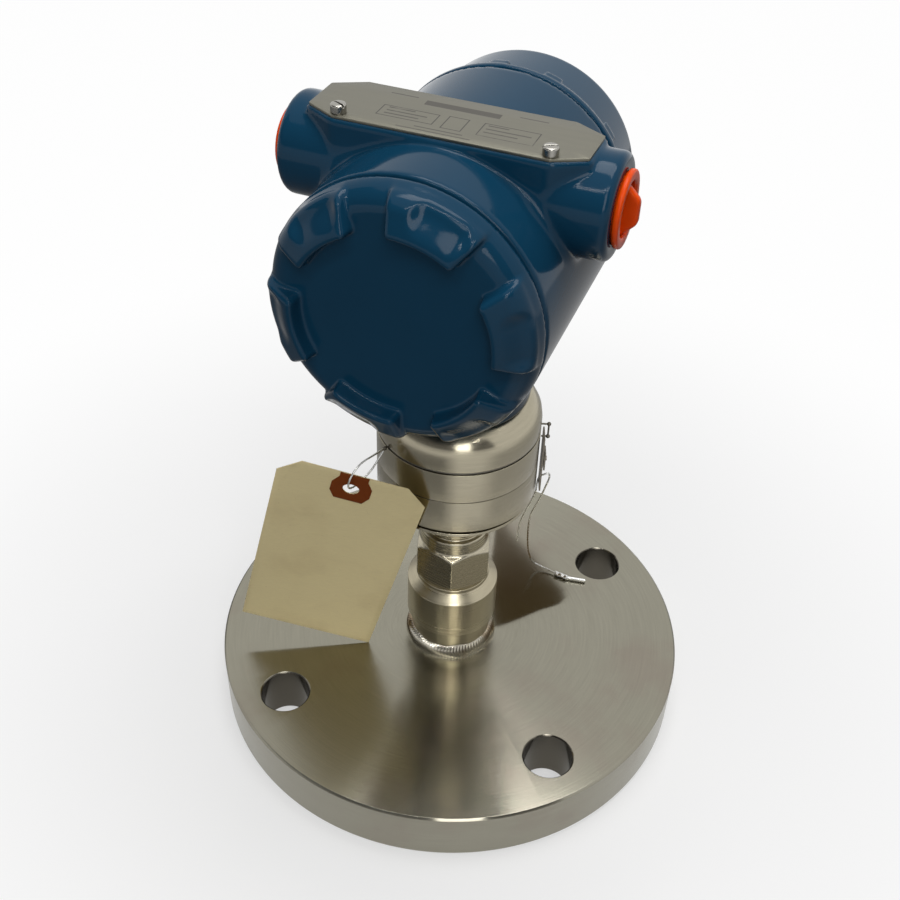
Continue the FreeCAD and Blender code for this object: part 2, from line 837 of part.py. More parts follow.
def skin(lv, face):
    """Name the part of the housing's skin that a face belongs to."""
    surface = face.Surface
    if surface.TypeId == "Part::GeomCone":
        return "neck"
    if surface.TypeId == "Part::GeomCylinder":
        return "barrel" if abs(surface.Axis.y) > 0.9 else "boss"
    if surface.TypeId != "Part::GeomPlane" or face.CenterOfMass.z < lv.boss_rise.value + 1:
        return "other"
    return "saddle_top" if abs(surface.Axis.z) > 0.9 else "saddle_side"


def between(lv, *pairs):
    """A test for edges that part two of these kinds of skin."""
    wanted = {tuple(sorted(pair)) for pair in pairs}

    def test(shape, edge):
        faces = shape.ancestorsOfType(edge, Part.Face)
        return tuple(sorted(skin(lv, face) for face in faces)) in wanted

    return test


def circle_at(edge, radius, test):
    """True on a round edge of this radius whose centre passes the test."""
    curve = edge.Curve
    if curve.TypeId != "Part::GeomCircle" or abs(curve.Radius - radius.value) > 1e-6:
        return False
    return test(curve.Center)


def build_housing(d, lv):
    """Cast barrel with two chambers, conduit bosses, a saddle for the nameplate and a swivel neck."""
    body = new_body("housing", move(0, 0, d.barrel_height))
    front = -d.barrel_front_reach
    rear = d.barrel_rear_reach
    revolve(body, "barrel", [
        (0, front),
        (d.barrel_radius, front),
        (d.barrel_radius, rear),
        (0, rear),
    ], axis="Y_Axis", plane="XY_Plane")
    boss = ring(new_sketch(body, "boss_outline", "YZ_Plane"), -d.boss_forward, lv.boss_rise, d.boss_radius)
    extrude(body, "bosses", boss, d.boss_reach * 2, both=True)
    corners = shifted(octagon(d, d.plate_margin), 0, -d.boss_forward - d.plate_forward)
    top = outline(new_sketch(body, "saddle_outline", "XY_Plane", lv.saddle_rise), corners)
    extrude(body, "saddle", top, d.saddle_depth, flip=True)
    flare_level = d.neck_flare_depth - d.barrel_radius
    revolve(body, "neck", [
        (0, lv.neck_bottom),
        (d.neck_radius, lv.neck_bottom),
        (d.neck_flare_radius, flare_level),
        (0, flare_level),
    ])
    soften(body, "boss_edges", d.boss_edge_radius, lambda shape, edge: circle_at(
        edge, d.boss_radius, lambda centre: abs(abs(centre.x) - d.boss_reach.value) < 1e-6))
    soften(body, "rims", d.barrel_edge_radius, lambda shape, edge: circle_at(
        edge, d.barrel_radius, lambda centre: not front.value + 1e-6 < centre.y < rear.value - 1e-6))
    soften(body, "junctions", d.junction_radius, between(lv, ("barrel", "boss"), ("barrel", "neck")))
    soften(body, "saddle_edges", d.saddle_edge_radius, between(
        lv, ("saddle_side", "saddle_side"), ("saddle_side", "saddle_top")))

    bulkhead = d.bulkhead_half_thickness
    for name, rim, inward, wall in (("front", front, 1, -bulkhead), ("rear", rear, -1, bulkhead)):
        seal_floor = rim + d.seal_depth * inward
        thread_end = rim + d.cover_thread_depth * inward
        revolve(body, f"{name}_chamber", [
            (0, rim),
            (lv.seal_bore_radius, rim),
            (lv.seal_bore_radius, seal_floor),
            (lv.cover_bore_radius, seal_floor),
            (lv.cover_bore_radius, thread_end),
            (lv.chamber_radius, thread_end),
            (lv.chamber_radius, wall),
            (0, wall),
        ], axis="Y_Axis", plane="XY_Plane", cut=True)
    entry = new_sketch(body, "conduit_outline", "YZ_Plane", d.boss_reach)
    ring(entry, -d.boss_forward, lv.boss_rise, d.conduit_radius)
    conduit = extrude(body, "conduit", entry, d.conduit_depth, cut=True)
    mirror(body, "conduits", [conduit], "YZ_Plane")
    socket = ring(new_sketch(body, "swivel_outline", "XY_Plane", lv.neck_bottom), 0, 0, lv.neck_bore_radius)
    extrude(body, "swivel_socket", socket, lv.neck_bore_top - lv.neck_bottom, cut=True, flip=True)
    way = new_sketch(body, "way_outline", "XY_Plane", lv.neck_bottom)
    ring(way, 0, d.cable_way_back, d.cable_way_radius)
    way_length = d.cable_way_radius - lv.chamber_radius - lv.neck_bottom
    extrude(body, "cable_way", way, way_length, cut=True, flip=True)
    screw_height = lv.neck_bottom + d.set_screw_rise
    screw_way = ring(new_sketch(body, "set_outline", "XZ_Plane"), 0, screw_height, d.set_screw_radius)
    extrude(body, "set_screw_hole", screw_way, d.neck_flare_radius, cut=True)
    keep(body, "housing")

    back = turn(AXIS_X, -90)
    spot = move(0, lv.neck_bore_radius + d.body_gap, d.barrel_height + screw_height)
    grub = cylinder("set_screw_blank", d.set_screw_radius, d.set_screw_length, spot, back)
    sizes = {"Circumradius": d.set_screw_socket_radius, "Height": d.set_screw_socket_depth}
    socket_lift = move(0, 0, d.set_screw_length - d.set_screw_socket_depth)
    key = solid("Part::Prism", "set_screw_key", sizes, spot, back, socket_lift)
    keep(subtract("set_screw", grub, key), "set_screw")


def build_nameplate(d, lv):
    """Octagonal plate on the saddle, with its two screws."""
    plate_foot = d.barrel_height + lv.saddle_rise
    middle = -d.boss_forward - d.plate_forward
    body = new_body("nameplate", move(0, middle, plate_foot))
    face = outline(new_sketch(body, "plate_outline", "XY_Plane"), octagon(d, 0))
    for side in (-1, 1):
        ring(face, d.plate_screw_side * side, -d.plate_screw_forward, d.plate_screw_shank_radius)
    extrude(body, "plate", face, d.plate_thickness)
    keep(body, "nameplate")
    heads = []
    for index, side in enumerate((-1, 1)):
        spot = move(d.plate_screw_side * side, middle - d.plate_screw_forward, plate_foot)
        lift = move(0, 0, d.plate_thickness)
        head = cylinder(
            f"screw_head_{index}", d.plate_screw_head_radius, d.plate_screw_head_height, spot, lift)
        shank = cylinder(f"screw_shank_{index}", d.plate_screw_shank_radius, d.plate_thickness, spot)
        heads.append(fuse(f"plate_screw_{index}", [head, shank]))
    keep(group("nameplate_screws", heads), "nameplate_screws")


def cover_frame(d, lug_angle, outward, reach):
    """Frame of a cover: its Z points out of the housing and its first lug lies on its X."""
    return (
        move(0, reach * outward, d.barrel_height),
        turn(AXIS_X, -90 * outward),
        turn(AXIS_Z, lug_angle),
    )


def add_lugs(body, d, lug):
    """Grip lugs round a cover: a sloping plateau, and a scooped ledge between two raised ears."""
    top = lug.foot + lug.height
    slope = lug.fall / (lug.outer - lug.inner)
    crown = lug.outer - lug.rounding
    crown_top = top - slope * (crown - lug.inner)
    bar = revolve(body, "lug", [
        (lug.inner, lug.foot - d.lug_root),
        (lug.outer, lug.root),
        (lug.outer, crown_top - lug.rounding, lug.rounding),
        (crown, crown_top),
        (lug.inner, top),
    ], span=lug.span)
    ledge = lug.scoop_radius + lug.scoop_run
    beyond = lug.outer + d.scoop_reach
    scoop = revolve(body, "scoop", [
        (lug.scoop_radius, top - slope * (lug.scoop_radius - lug.inner)),
        (ledge, top - slope * (ledge - lug.inner) - lug.scoop_depth),
        (beyond, top - slope * (beyond - lug.inner) - lug.scoop_depth),
        (beyond, top),
        (lug.scoop_radius, top),
    ], span=lug.scoop_span, cut=True)
    repeat_around(body, "lugs", [bar, scoop], LUG_COUNT)


def build_front_cover(d, lv):
    """Blind screw cover with its threaded spigot and six scooped lugs."""
    body = new_body("front_cover", *cover_frame(d, d.front_lug_angle, -1, d.barrel_front_reach))
    face = d.front_face_height
    edge = d.front_edge_radius
    ceiling = face - d.front_wall
    revolve(body, "cup", [
        (0, ceiling),
        (lv.spigot_bore_radius, ceiling),
        (lv.spigot_bore_radius, -d.spigot_length),
        (lv.spigot_radius, -d.spigot_length),
        (lv.spigot_radius, d.seam_gap),
        (d.barrel_radius, d.seam_gap),
        (d.barrel_radius, face - edge, edge),
        (d.barrel_radius - edge, face),
        (0, face),
    ])
    add_lugs(body, d, Lug(
        inner=d.barrel_radius - d.front_lug_inner_inset,
        outer=d.barrel_radius - d.front_lug_inset,
        root=face - edge,
        foot=face,
        height=d.front_lug_height,
        fall=d.front_lug_fall,
        rounding=d.front_lug_round,
        span=d.front_lug_span,
        scoop_span=d.front_scoop_span,
        scoop_radius=d.barrel_radius - d.front_scoop_inset,
        scoop_run=d.front_scoop_run,
        scoop_depth=d.front_scoop_depth,
    ))
    keep(body, "front_cover")


def build_rear_cover(d, lv):
    """Hooded screw cover with a window, and the pieces that hold its glass."""
    frame = cover_frame(d, d.rear_lug_angle, 1, d.barrel_rear_reach)
    body = new_body("rear_cover", *frame)
    end_inside = d.hood_height - d.hood_end_wall
    edge = d.hood_edge_radius
    revolve(body, "hood", [
        (lv.spigot_bore_radius, -d.spigot_length),
        (lv.spigot_radius, -d.spigot_length),
        (lv.spigot_radius, d.seam_gap),
        (d.barrel_radius, d.seam_gap),
        (d.barrel_radius, d.rear_rim_height),
        (lv.hood_root_radius, d.rear_rim_height),
        (lv.hood_tip_radius, d.hood_height - edge, edge),
        (lv.hood_tip_radius - edge, d.hood_height),
        (lv.window_radius, d.hood_height),
        (lv.window_radius, end_inside),
        (lv.spigot_bore_radius, end_inside),
    ])
    add_lugs(body, d, Lug(
        inner=lv.hood_tip_radius - d.rear_lug_sink,
        outer=d.barrel_radius - d.rear_lug_inset,
        root=d.rear_rim_height - d.lug_root,
        foot=d.rear_rim_height,
        height=d.rear_lug_height,
        fall=d.rear_lug_fall,
        rounding=d.rear_lug_round,
        span=d.rear_lug_span,
        scoop_span=d.rear_scoop_span,
        scoop_radius=d.barrel_radius - d.rear_scoop_inset,
        scoop_run=d.rear_scoop_run,
        scoop_depth=d.rear_scoop_depth,
    ))
    keep(body, "rear_cover")

    glass_radius = lv.spigot_bore_radius - d.window_glass_inset
    glass_top = end_inside - d.window_gasket_thickness
    glass_foot = glass_top - d.window_glass_thickness
    ring_foot = glass_foot - d.window_ring_height
    rings = (
        ("window_gasket", lv.window_radius, glass_radius, glass_top, end_inside),
        ("window_glass", 0, glass_radius, glass_foot, glass_top),
        ("window_ring", lv.window_radius, lv.spigot_bore_radius, ring_foot, glass_foot),
    )
    for name, inner, outer, foot, top in rings:
        piece = new_body(name, *frame)
        revolve(piece, "turned", [(inner, foot), (outer, foot), (outer, top), (inner, top)])
        keep(piece, name)


def build_cover_seals(d, lv):
    """Rubber rings between the covers and the housing's rims."""
    section = (lv.seal_bore_radius - lv.spigot_radius) / 2 - d.fit_gap
    sizes = {"Radius1": lv.spigot_radius + d.fit_gap + section, "Radius2": section}
    sides = (("front_seal", -1, d.barrel_front_reach), ("rear_seal", 1, d.barrel_rear_reach))
    for name, outward, reach in sides:
        lift = move(0, 0, d.seam_gap - d.fit_gap - section)
        frame = cover_frame(d, 0, outward, reach)
        keep(solid("Part::Torus", name, sizes, *frame, lift), name)


def build_plugs(d, lv):
    """Plastic plugs with a grip fin in both conduit entries."""
    for name, side in (("left_plug", -1), ("right_plug", 1)):
        spot = move(d.boss_reach * side, -d.boss_forward, d.barrel_height + lv.boss_rise)
        body = new_body(name, spot, turn(AXIS_Y, 90 * side))
        rim_top = d.body_gap + d.plug_rim_height
        floor = d.plug_floor - d.plug_stem_length
        revolve(body, "cup", [
            (0, -d.plug_stem_length),
            (lv.plug_stem_radius, -d.plug_stem_length),
            (lv.plug_stem_radius, d.body_gap),
            (d.plug_rim_radius, d.body_gap),
            (d.plug_rim_radius, rim_top),
            (d.plug_recess_radius, rim_top),
            (d.plug_recess_radius, floor),
            (0, floor),
        ])
        fin = outline(new_sketch(body, "fin_outline", "XZ_Plane"), [
            (-d.fin_root_half_length, -d.plug_stem_length + d.plug_floor / 2),
            (d.fin_root_half_length, -d.plug_stem_length + d.plug_floor / 2),
            (d.fin_root_half_length, rim_top - d.plug_floor / 2),
            (d.fin_tip_half_length, rim_top + d.fin_rise),
            (-d.fin_tip_half_length, rim_top + d.fin_rise),
            (-d.fin_root_half_length, rim_top - d.plug_floor / 2),
        ])
        extrude(body, "fin", fin, d.fin_thickness, both=True)
        keep(body, name)


def build_terminal_side(d, lv):
    """Terminal block on the bulkhead, its screws and the ground screw."""
    forward = turn(AXIS_X, 90)
    face = move(0, -d.bulkhead_half_thickness, d.barrel_height)
    side = lv.chamber_radius - d.terminal_block_gap
    blank = cylinder("block_blank", side, d.terminal_block_depth, face, forward)
    off_cut = box("block_off_cut", side * 2, side, d.terminal_block_depth, face, forward,
                  move(-side, d.terminal_block_flat, 0))
    wells = []
    screws = []
    middle = (TERMINAL_COUNT - 1) / 2
    well_floor = d.terminal_block_depth - d.terminal_well_depth
    for index in range(TERMINAL_COUNT):
        spot = move(d.terminal_pitch * (index - middle), -d.terminal_drop, well_floor)
        corner = move(-d.terminal_well_width / 2, -d.terminal_well_height / 2, 0)
        wells.append(box(f"well_{index}", d.terminal_well_width, d.terminal_well_height,
                         d.terminal_well_depth, face, forward, spot, corner))
        screws.append(cylinder(f"terminal_screw_{index}", d.terminal_screw_radius,
                               d.terminal_screw_height, face, forward, spot))
    shaped = subtract("block_shaped", blank, off_cut)
    keep(subtract("terminal_block", shaped, fuse("wells", wells)), "terminal_block")
    keep(group("terminal_screws", screws), "terminal_screws")
    ground = cylinder("ground_screw", d.ground_screw_radius, d.ground_screw_height, face, forward,
                      move(0, d.ground_screw_rise, 0))
    keep(ground, "ground_screw")


def build_electronics_side(d, lv):
    """Main board on standoffs, the potted electronics and the display behind the window."""
    backward = turn(AXIS_X, -90)
    axis = move(0, 0, d.barrel_height)
    board_radius = lv.chamber_radius - d.main_board_gap
    posts = []
    for index in range(POST_COUNT):
        spot = turn(AXIS_Z, index * FULL_TURN / POST_COUNT)
        out = move(board_radius - d.standoff_inset, 0, d.bulkhead_half_thickness)
        posts.append(cylinder(f"standoff_{index}", d.standoff_radius, d.standoff_height,
                              axis, backward, spot, out))
    keep(group("board_standoffs", posts), "board_standoffs")
    board_foot = d.bulkhead_half_thickness + d.standoff_height
    stack = (
        ("main_board", board_radius, board_foot, d.board_thickness),
        ("electronics_module", lv.chamber_radius - d.electronics_gap, lv.board_top, d.electronics_depth),
    )
    for name, radius, foot, height in stack:
        keep(cylinder(name, radius, height, axis, backward, move(0, 0, foot)), name)
    blank = cylinder("display_blank", lv.window_radius - d.display_gap, d.display_depth, axis, backward,
                     move(0, 0, lv.electronics_top))
    corner = move(-d.lcd_width / 2, -d.lcd_height / 2, lv.display_top - d.lcd_thickness)
    recess = box("lcd_recess", d.lcd_width, d.lcd_height, d.lcd_thickness, axis, backward, corner)
    keep(subtract("display_module", blank, recess), "display_module")
    panel = box("lcd_panel", d.lcd_width, d.lcd_height, d.lcd_thickness, axis, backward, corner)
    keep(panel, "lcd_panel")
    screws = []
    for index, side in enumerate((-1, 1)):
        spot = move(0, d.display_screw_offset * side, lv.display_top)
        screws.append(cylinder(f"display_screw_{index}", d.display_screw_radius, d.display_screw_height,
                               axis, backward, spot))
    keep(group("display_screws", screws), "display_screws")


def build_card_tag(d, lv):
    """Card tag that hangs by the module with one corner on the flange, and its fibre patch."""
    frame = (
        move(d.card_foot_side, d.card_foot_tuck - d.module_radius, lv.flange_top + d.card_foot_lift),
        turn(AXIS_Y, d.card_roll),
        turn(AXIS_X, d.card_pitch),
        turn(AXIS_Z, d.card_yaw),
    )
    width, height, cut = d.card_width, d.card_height, d.card_corner_cut
    middle = -width / 2
    hole = (middle, height - d.card_hole_drop, d.card_hole_radius)
    card = new_body("card_tag", *frame)
    face = outline(new_sketch(card, "card_outline", "XZ_Plane"), [
        (0, 0),
        (0, height - cut),
        (-cut, height),
        (cut - width, height),
        (-width, height - cut),
        (-width, 0),
    ])
    ring(face, *hole)
    extrude(card, "card", face, d.card_thickness)
    keep(card, "card_tag")

    patch = new_body("card_patch", *frame)
    top_half, half = d.patch_top_half_width, d.patch_half_width
    depths = (0, 0.16, 0.42, 0.74, 1.0)
    halves = (top_half, top_half, half, half, top_half)
    right = [(middle + w, height - d.patch_height * share) for w, share in zip(halves, depths)]
    left = [(middle - w, height - d.patch_height * share) for w, share in zip(halves, depths)]
    shape = new_sketch(patch, "patch_outline", "XZ_Plane", d.card_thickness)
    ring(outline(shape, left + right[::-1]), *hole)
    extrude(patch, "patch", shape, d.patch_thickness)
    keep(patch, "card_patch")


def build_tag_loop(d, lv):
    """Wire round the module's groove, with a knotted end for the card and a hook for the steel tag."""
    level = lv.wire_groove_mid
    ring_radius = lv.wire_ring_radius
    loop_sizes = {"Radius1": ring_radius, "Radius2": d.wire_radius}
    knot_sizes = {"Radius": d.wire_end_radius}
    loop = [solid("Part::Torus", "tag_loop_ring", loop_sizes, move(0, 0, level))]
    knot_reach = d.body_gap + d.wire_end_radius
    hook_radius = d.module_radius + d.steel_tag_gap + d.steel_tag_thickness + knot_reach
    pin_radius = d.module_radius + d.body_gap
    outward = turn(AXIS_Y, 90)
    hook_level = lv.tag_hook_level
    pins = (
        ("card", d.card_wire_angle, ring_radius, d.module_radius + knot_reach, level),
        ("steel", d.steel_tag_angle, ring_radius, hook_radius, level),
        ("hook", d.steel_tag_angle, pin_radius, hook_radius, hook_level),
    )
    for name, angle, start, end, height in pins:
        side = turn(AXIS_Z, angle)
        pin = cylinder(f"{name}_pin", d.wire_radius, end - start, side, move(start, 0, height), outward)
        knot = solid("Part::Sphere", f"{name}_knot", knot_sizes, side, move(end, 0, height))
        loop.extend((pin, knot))
    hook_foot = (turn(AXIS_Z, d.steel_tag_angle), move(hook_radius, 0, hook_level))
    loop.append(cylinder("hook_drop", d.wire_radius, d.tag_hook_drop, *hook_foot))
    keep(fuse("tag_loop", loop), "tag_loop")


def build_steel_tags(d, lv):
    """Narrow steel tag on the loop's hook, with a small plate riveted to it."""
    side = turn(AXIS_Z, d.steel_tag_angle)
    outward = turn(AXIS_Y, 90)
    thick = d.steel_tag_thickness
    inner = d.module_radius + d.steel_tag_gap
    hole_level = lv.tag_hook_level + d.wire_radius - d.steel_tag_hole_radius
    top = hole_level + d.steel_tag_hole_drop
    foot = top - d.steel_tag_height
    corner = move(inner, -d.steel_tag_width / 2, foot)
    blank = box("tag_blank", thick, d.steel_tag_width, d.steel_tag_height, side, corner)
    holes = []
    for name, level in (("upper", hole_level), ("lower", foot + d.steel_tag_lower_hole_rise)):
        holes.append(cylinder(
            f"tag_{name}_hole", d.steel_tag_hole_radius, thick, side, move(inner, 0, level), outward))
    strip = subtract("tag_strip", blank, fuse("tag_holes", holes))
    small_inner = inner + thick + d.small_tag_gap
    small_level = top - d.small_tag_drop
    small_corner = move(small_inner, -d.small_tag_width / 2, small_level - d.small_tag_height / 2)
    small = box("small_tag", thick, d.small_tag_width, d.small_tag_height, side, small_corner)
    rivet_start = inner + thick / 2
    rivet_length = small_inner + thick + d.rivet_rise - rivet_start
    rivet = cylinder(
        "tag_rivet", d.rivet_radius, rivet_length, side, move(rivet_start, 0, small_level), outward)
    keep(fuse("steel_tags", [strip, small, rivet]), "steel_tags")


def wire_path(name, points):
    """Straight runs joined by tangent arcs, each as large as its two runs allow."""
    edges = []
    radii = []
    start = points[0]
    for before, corner, after in zip(points, points[1:], points[2:]):
        run_in, run_out = corner - before, after - corner
        half_turn = run_in.getAngle(run_out) / 2
        setback = ARC_SHARE * min(run_in.Length, run_out.Length)
        radii.append(setback / math.tan(half_turn))
        enter = corner - run_in.normalize() * setback
        leave = corner + run_out.normalize() * setback
        bisector = (enter + leave) / 2 - corner
        to_arc = radii[-1] / math.cos(half_turn) - radii[-1]
        middle = corner + bisector.normalize() * to_arc
        edges.append(Part.LineSegment(start, enter).toShape())
        edges.append(Part.Arc(enter, middle, leave).toShape())
        start = leave
    edges.append(Part.LineSegment(start, points[-1]).toShape())
    wire = Part.Wire(edges)
    print(f"{name}: length {wire.Length:.1f} mm, arc radii " + ", ".join(f"{r:.1f}" for r in radii))
    return wire


def by_module(d, facing, out, side):
    """Place beside the module, from its shares out along a heading and aside of it."""
    spot = FreeCAD.Vector(out * d.module_radius.value, side * d.module_radius.value, 0)
    return FreeCAD.Rotation(FreeCAD.Vector(*AXIS_Z), facing).multVec(spot)


def wire_points(d, lv, facing, hang, route):
    """Points of a wire in space, from its shares."""
    points = []
    for out, side, share, rise in route:
        level = lv.flange_top + (lv.wire_groove_mid - lv.flange_top) * share + hang * rise
        points.append(by_module(d, facing, out, side) + FreeCAD.Vector(0, 0, level.value))
    return points


def build_wires(d, lv):
    """Thin wires: one through the card's hole, and a sealing wire with a short cut end."""
    tag_side = d.steel_tag_angle.value
    routes = (
        ("card_wire", CARD_SIDE, d.card_height, CARD_WIRE_ROUTE),
        ("seal_wire", tag_side, d.steel_tag_height, SEAL_WIRE_ROUTE),
        ("seal_wire_short", tag_side, d.steel_tag_height, SEAL_WIRE_SHORT_ROUTE),
    )
    for name, facing, hang, route in routes:
        points = wire_points(d, lv, facing, hang, route)
        path = wire_path(name, points)
        start = points[0]
        heading = points[1] - start
        section = Part.Wire(Part.makeCircle(d.wire_radius.value, start, heading))
        tube = path.makePipeShell([section], True, False)
        expected = path.Length * math.pi * d.wire_radius.value ** 2
        if abs(tube.Volume / expected - 1) > 0.02:
            raise ValueError(f"{name} has {tube.Volume:.2f} of {expected:.2f} cubic millimetres")
        item = DOC.addObject("Part::Feature", name)
        item.Shape = tube
        keep(item, name)


def build_crimp(d, lv):
    """Crimped sleeve on the sealing wire with the tube end beyond it, lying on the flange."""
    tag_side = d.steel_tag_angle.value
    start, end, tip = [by_module(d, tag_side, *spot) for spot in (CRIMP_START, CRIMP_END, CRIMP_TUBE_END)]
    level = lv.flange_top + d.crimp_radius
    pieces = []
    for name, first, last, radius in (
        ("sleeve", start, end, d.crimp_radius),
        ("tube_end", (start + end) / 2, tip, d.crimp_tube_radius),
    ):
        run = last - first
        heading = math.degrees(math.atan2(run.y, run.x))
        pieces.append(cylinder(f"crimp_{name}", radius, as_size(run.Length), move(first.x, first.y, level),
                               turn(AXIS_Z, heading), turn(AXIS_Y, 90)))
    keep(fuse("seal_crimp", pieces), "seal_crimp")


def check_document():
    """Stop if any object failed, or any sub-part is empty or not valid."""
    for item in DOC.Objects:
        if "Invalid" in item.State or "Error" in item.State:
            raise ValueError(f"{item.Label} is {item.State}")
    for node in NODES:
        if node.Shape.isNull() or not node.Shape.isValid() or not node.Shape.Solids:
            raise ValueError(f"{node.Label} has no valid solid")


def export_parts():
    """Write one file for each sub-part."""
    os.makedirs("parts", exist_ok=True)
    for node in NODES:
        node.Shape.exportStep(f"parts/{node.Label}.step")


def main():
    d = make_sheet()
    lv = make_levels(d)
    build_flange(d, lv)
    build_diaphragm(d)
    build_fill_tube(d, lv)
    build_collar(d, lv)
    build_hex_adapter(d, lv)
    build_sensor_module(d, lv)
    build_housing(d, lv)
    build_nameplate(d, lv)
    build_front_cover(d, lv)
    build_rear_cover(d, lv)
    build_cover_seals(d, lv)
    build_plugs(d, lv)
    build_terminal_side(d, lv)
    build_electronics_side(d, lv)
    build_card_tag(d, lv)
    build_tag_loop(d, lv)
    build_steel_tags(d, lv)
    build_wires(d, lv)
    build_crimp(d, lv)
    DOC.recompute()
    check_document()
    export_parts()


main()
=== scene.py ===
"""Looks of a pressure transmitter on a flanged seal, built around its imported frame.

Sizes inside the classes are millimetres and degrees. Meshes are written in metres, and the finishes' node
scales and bump depths are for metres. The frame is the CAD one: origin at the centre of the sealing face,
+Z up the stem, the blind cover faces -Y.
"""
import functools
import itertools
import logging
import math
from dataclasses import dataclass, field
from enum import Enum
from typing import Callable, Iterable, Sequence, Union

import bmesh
import bpy
import numpy as np
from mathutils import Matrix, Vector
from mathutils.geometry import delaunay_2d_cdt


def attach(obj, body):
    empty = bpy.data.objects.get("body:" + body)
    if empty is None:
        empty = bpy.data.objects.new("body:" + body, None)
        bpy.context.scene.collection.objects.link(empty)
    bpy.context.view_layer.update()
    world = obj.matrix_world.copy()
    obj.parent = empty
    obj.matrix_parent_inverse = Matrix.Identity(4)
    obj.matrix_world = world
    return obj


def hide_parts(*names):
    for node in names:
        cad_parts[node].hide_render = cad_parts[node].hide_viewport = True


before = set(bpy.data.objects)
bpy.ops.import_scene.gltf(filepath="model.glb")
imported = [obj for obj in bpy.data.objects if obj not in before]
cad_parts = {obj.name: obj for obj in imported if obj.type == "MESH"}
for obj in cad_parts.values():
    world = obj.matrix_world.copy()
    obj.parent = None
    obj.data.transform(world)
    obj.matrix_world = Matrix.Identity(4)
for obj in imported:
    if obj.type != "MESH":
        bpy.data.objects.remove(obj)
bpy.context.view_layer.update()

LOG = logging.getLogger("pressure_transmitter")
MM = 0.001

Colour = tuple[float, float, float]
Point = tuple[float, float, float]
Span = tuple[float, float]
Patch = tuple[Span, Span]
Wave = tuple[float, int, float]
Field = Callable[[np.ndarray, np.ndarray, np.ndarray], np.ndarray]

# Sizes that several pieces share

FILL_BORE = 1.6
FLANGE_TOP = 23.9
BOLT_CIRCLE = 76.2
BOLT_ANGLE = 51.2
STEM_TOP = 103.6
AXIS_HEIGHT = 212.5
BARREL_RADIUS = 43.2
BARREL_FRONT = -48.0
BARREL_REAR = 33.1
BOSS_REACH = 52.0
BOSS_FORWARD = 13.8
BOSS_RISE = 28.3
SADDLE_TOP = 45.0
SADDLE_MIDDLE = -14.5


class Body(Enum):
    """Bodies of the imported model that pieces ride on."""

    PROCESS = "process"
    HOUSING = "housing"
    FRONT_COVER = "front_cover"
    REAR_COVER = "rear_cover"
    LEFT_PLUG = "left_plug"
    RIGHT_PLUG = "right_plug"


# Distance fields

TINY = 1e-9


def joined(a: np.ndarray, b: np.ndarray, fillet: float) -> np.ndarray:
    """Union of two fields with a round fillet along their seam."""
    corner = np.hypot(np.maximum(fillet - a, 0), np.maximum(fillet - b, 0))
    return np.maximum(fillet, np.minimum(a, b)) - corner


def common(a: np.ndarray, b: np.ndarray, edge: float) -> np.ndarray:
    """Common part of two fields with a rounded edge where their surfaces meet."""
    corner = np.hypot(np.maximum(edge + a, 0), np.maximum(edge + b, 0))
    return np.minimum(-edge, np.maximum(a, b)) + corner


def cut(a: np.ndarray, tool: np.ndarray, edge: float) -> np.ndarray:
    """First field without the second, with a rounded edge round the cut."""
    return common(a, -tool, edge)


def slab(values: np.ndarray, low: float, high: float) -> np.ndarray:
    """Field of the layer between two values of one coordinate."""
    return np.maximum(low - values, values - high)


def folded(angle: np.ndarray, sector: float) -> np.ndarray:
    """Angle from the middle of its sector, for a form that repeats round an axis."""
    return (angle + sector / 2) % sector - sector / 2


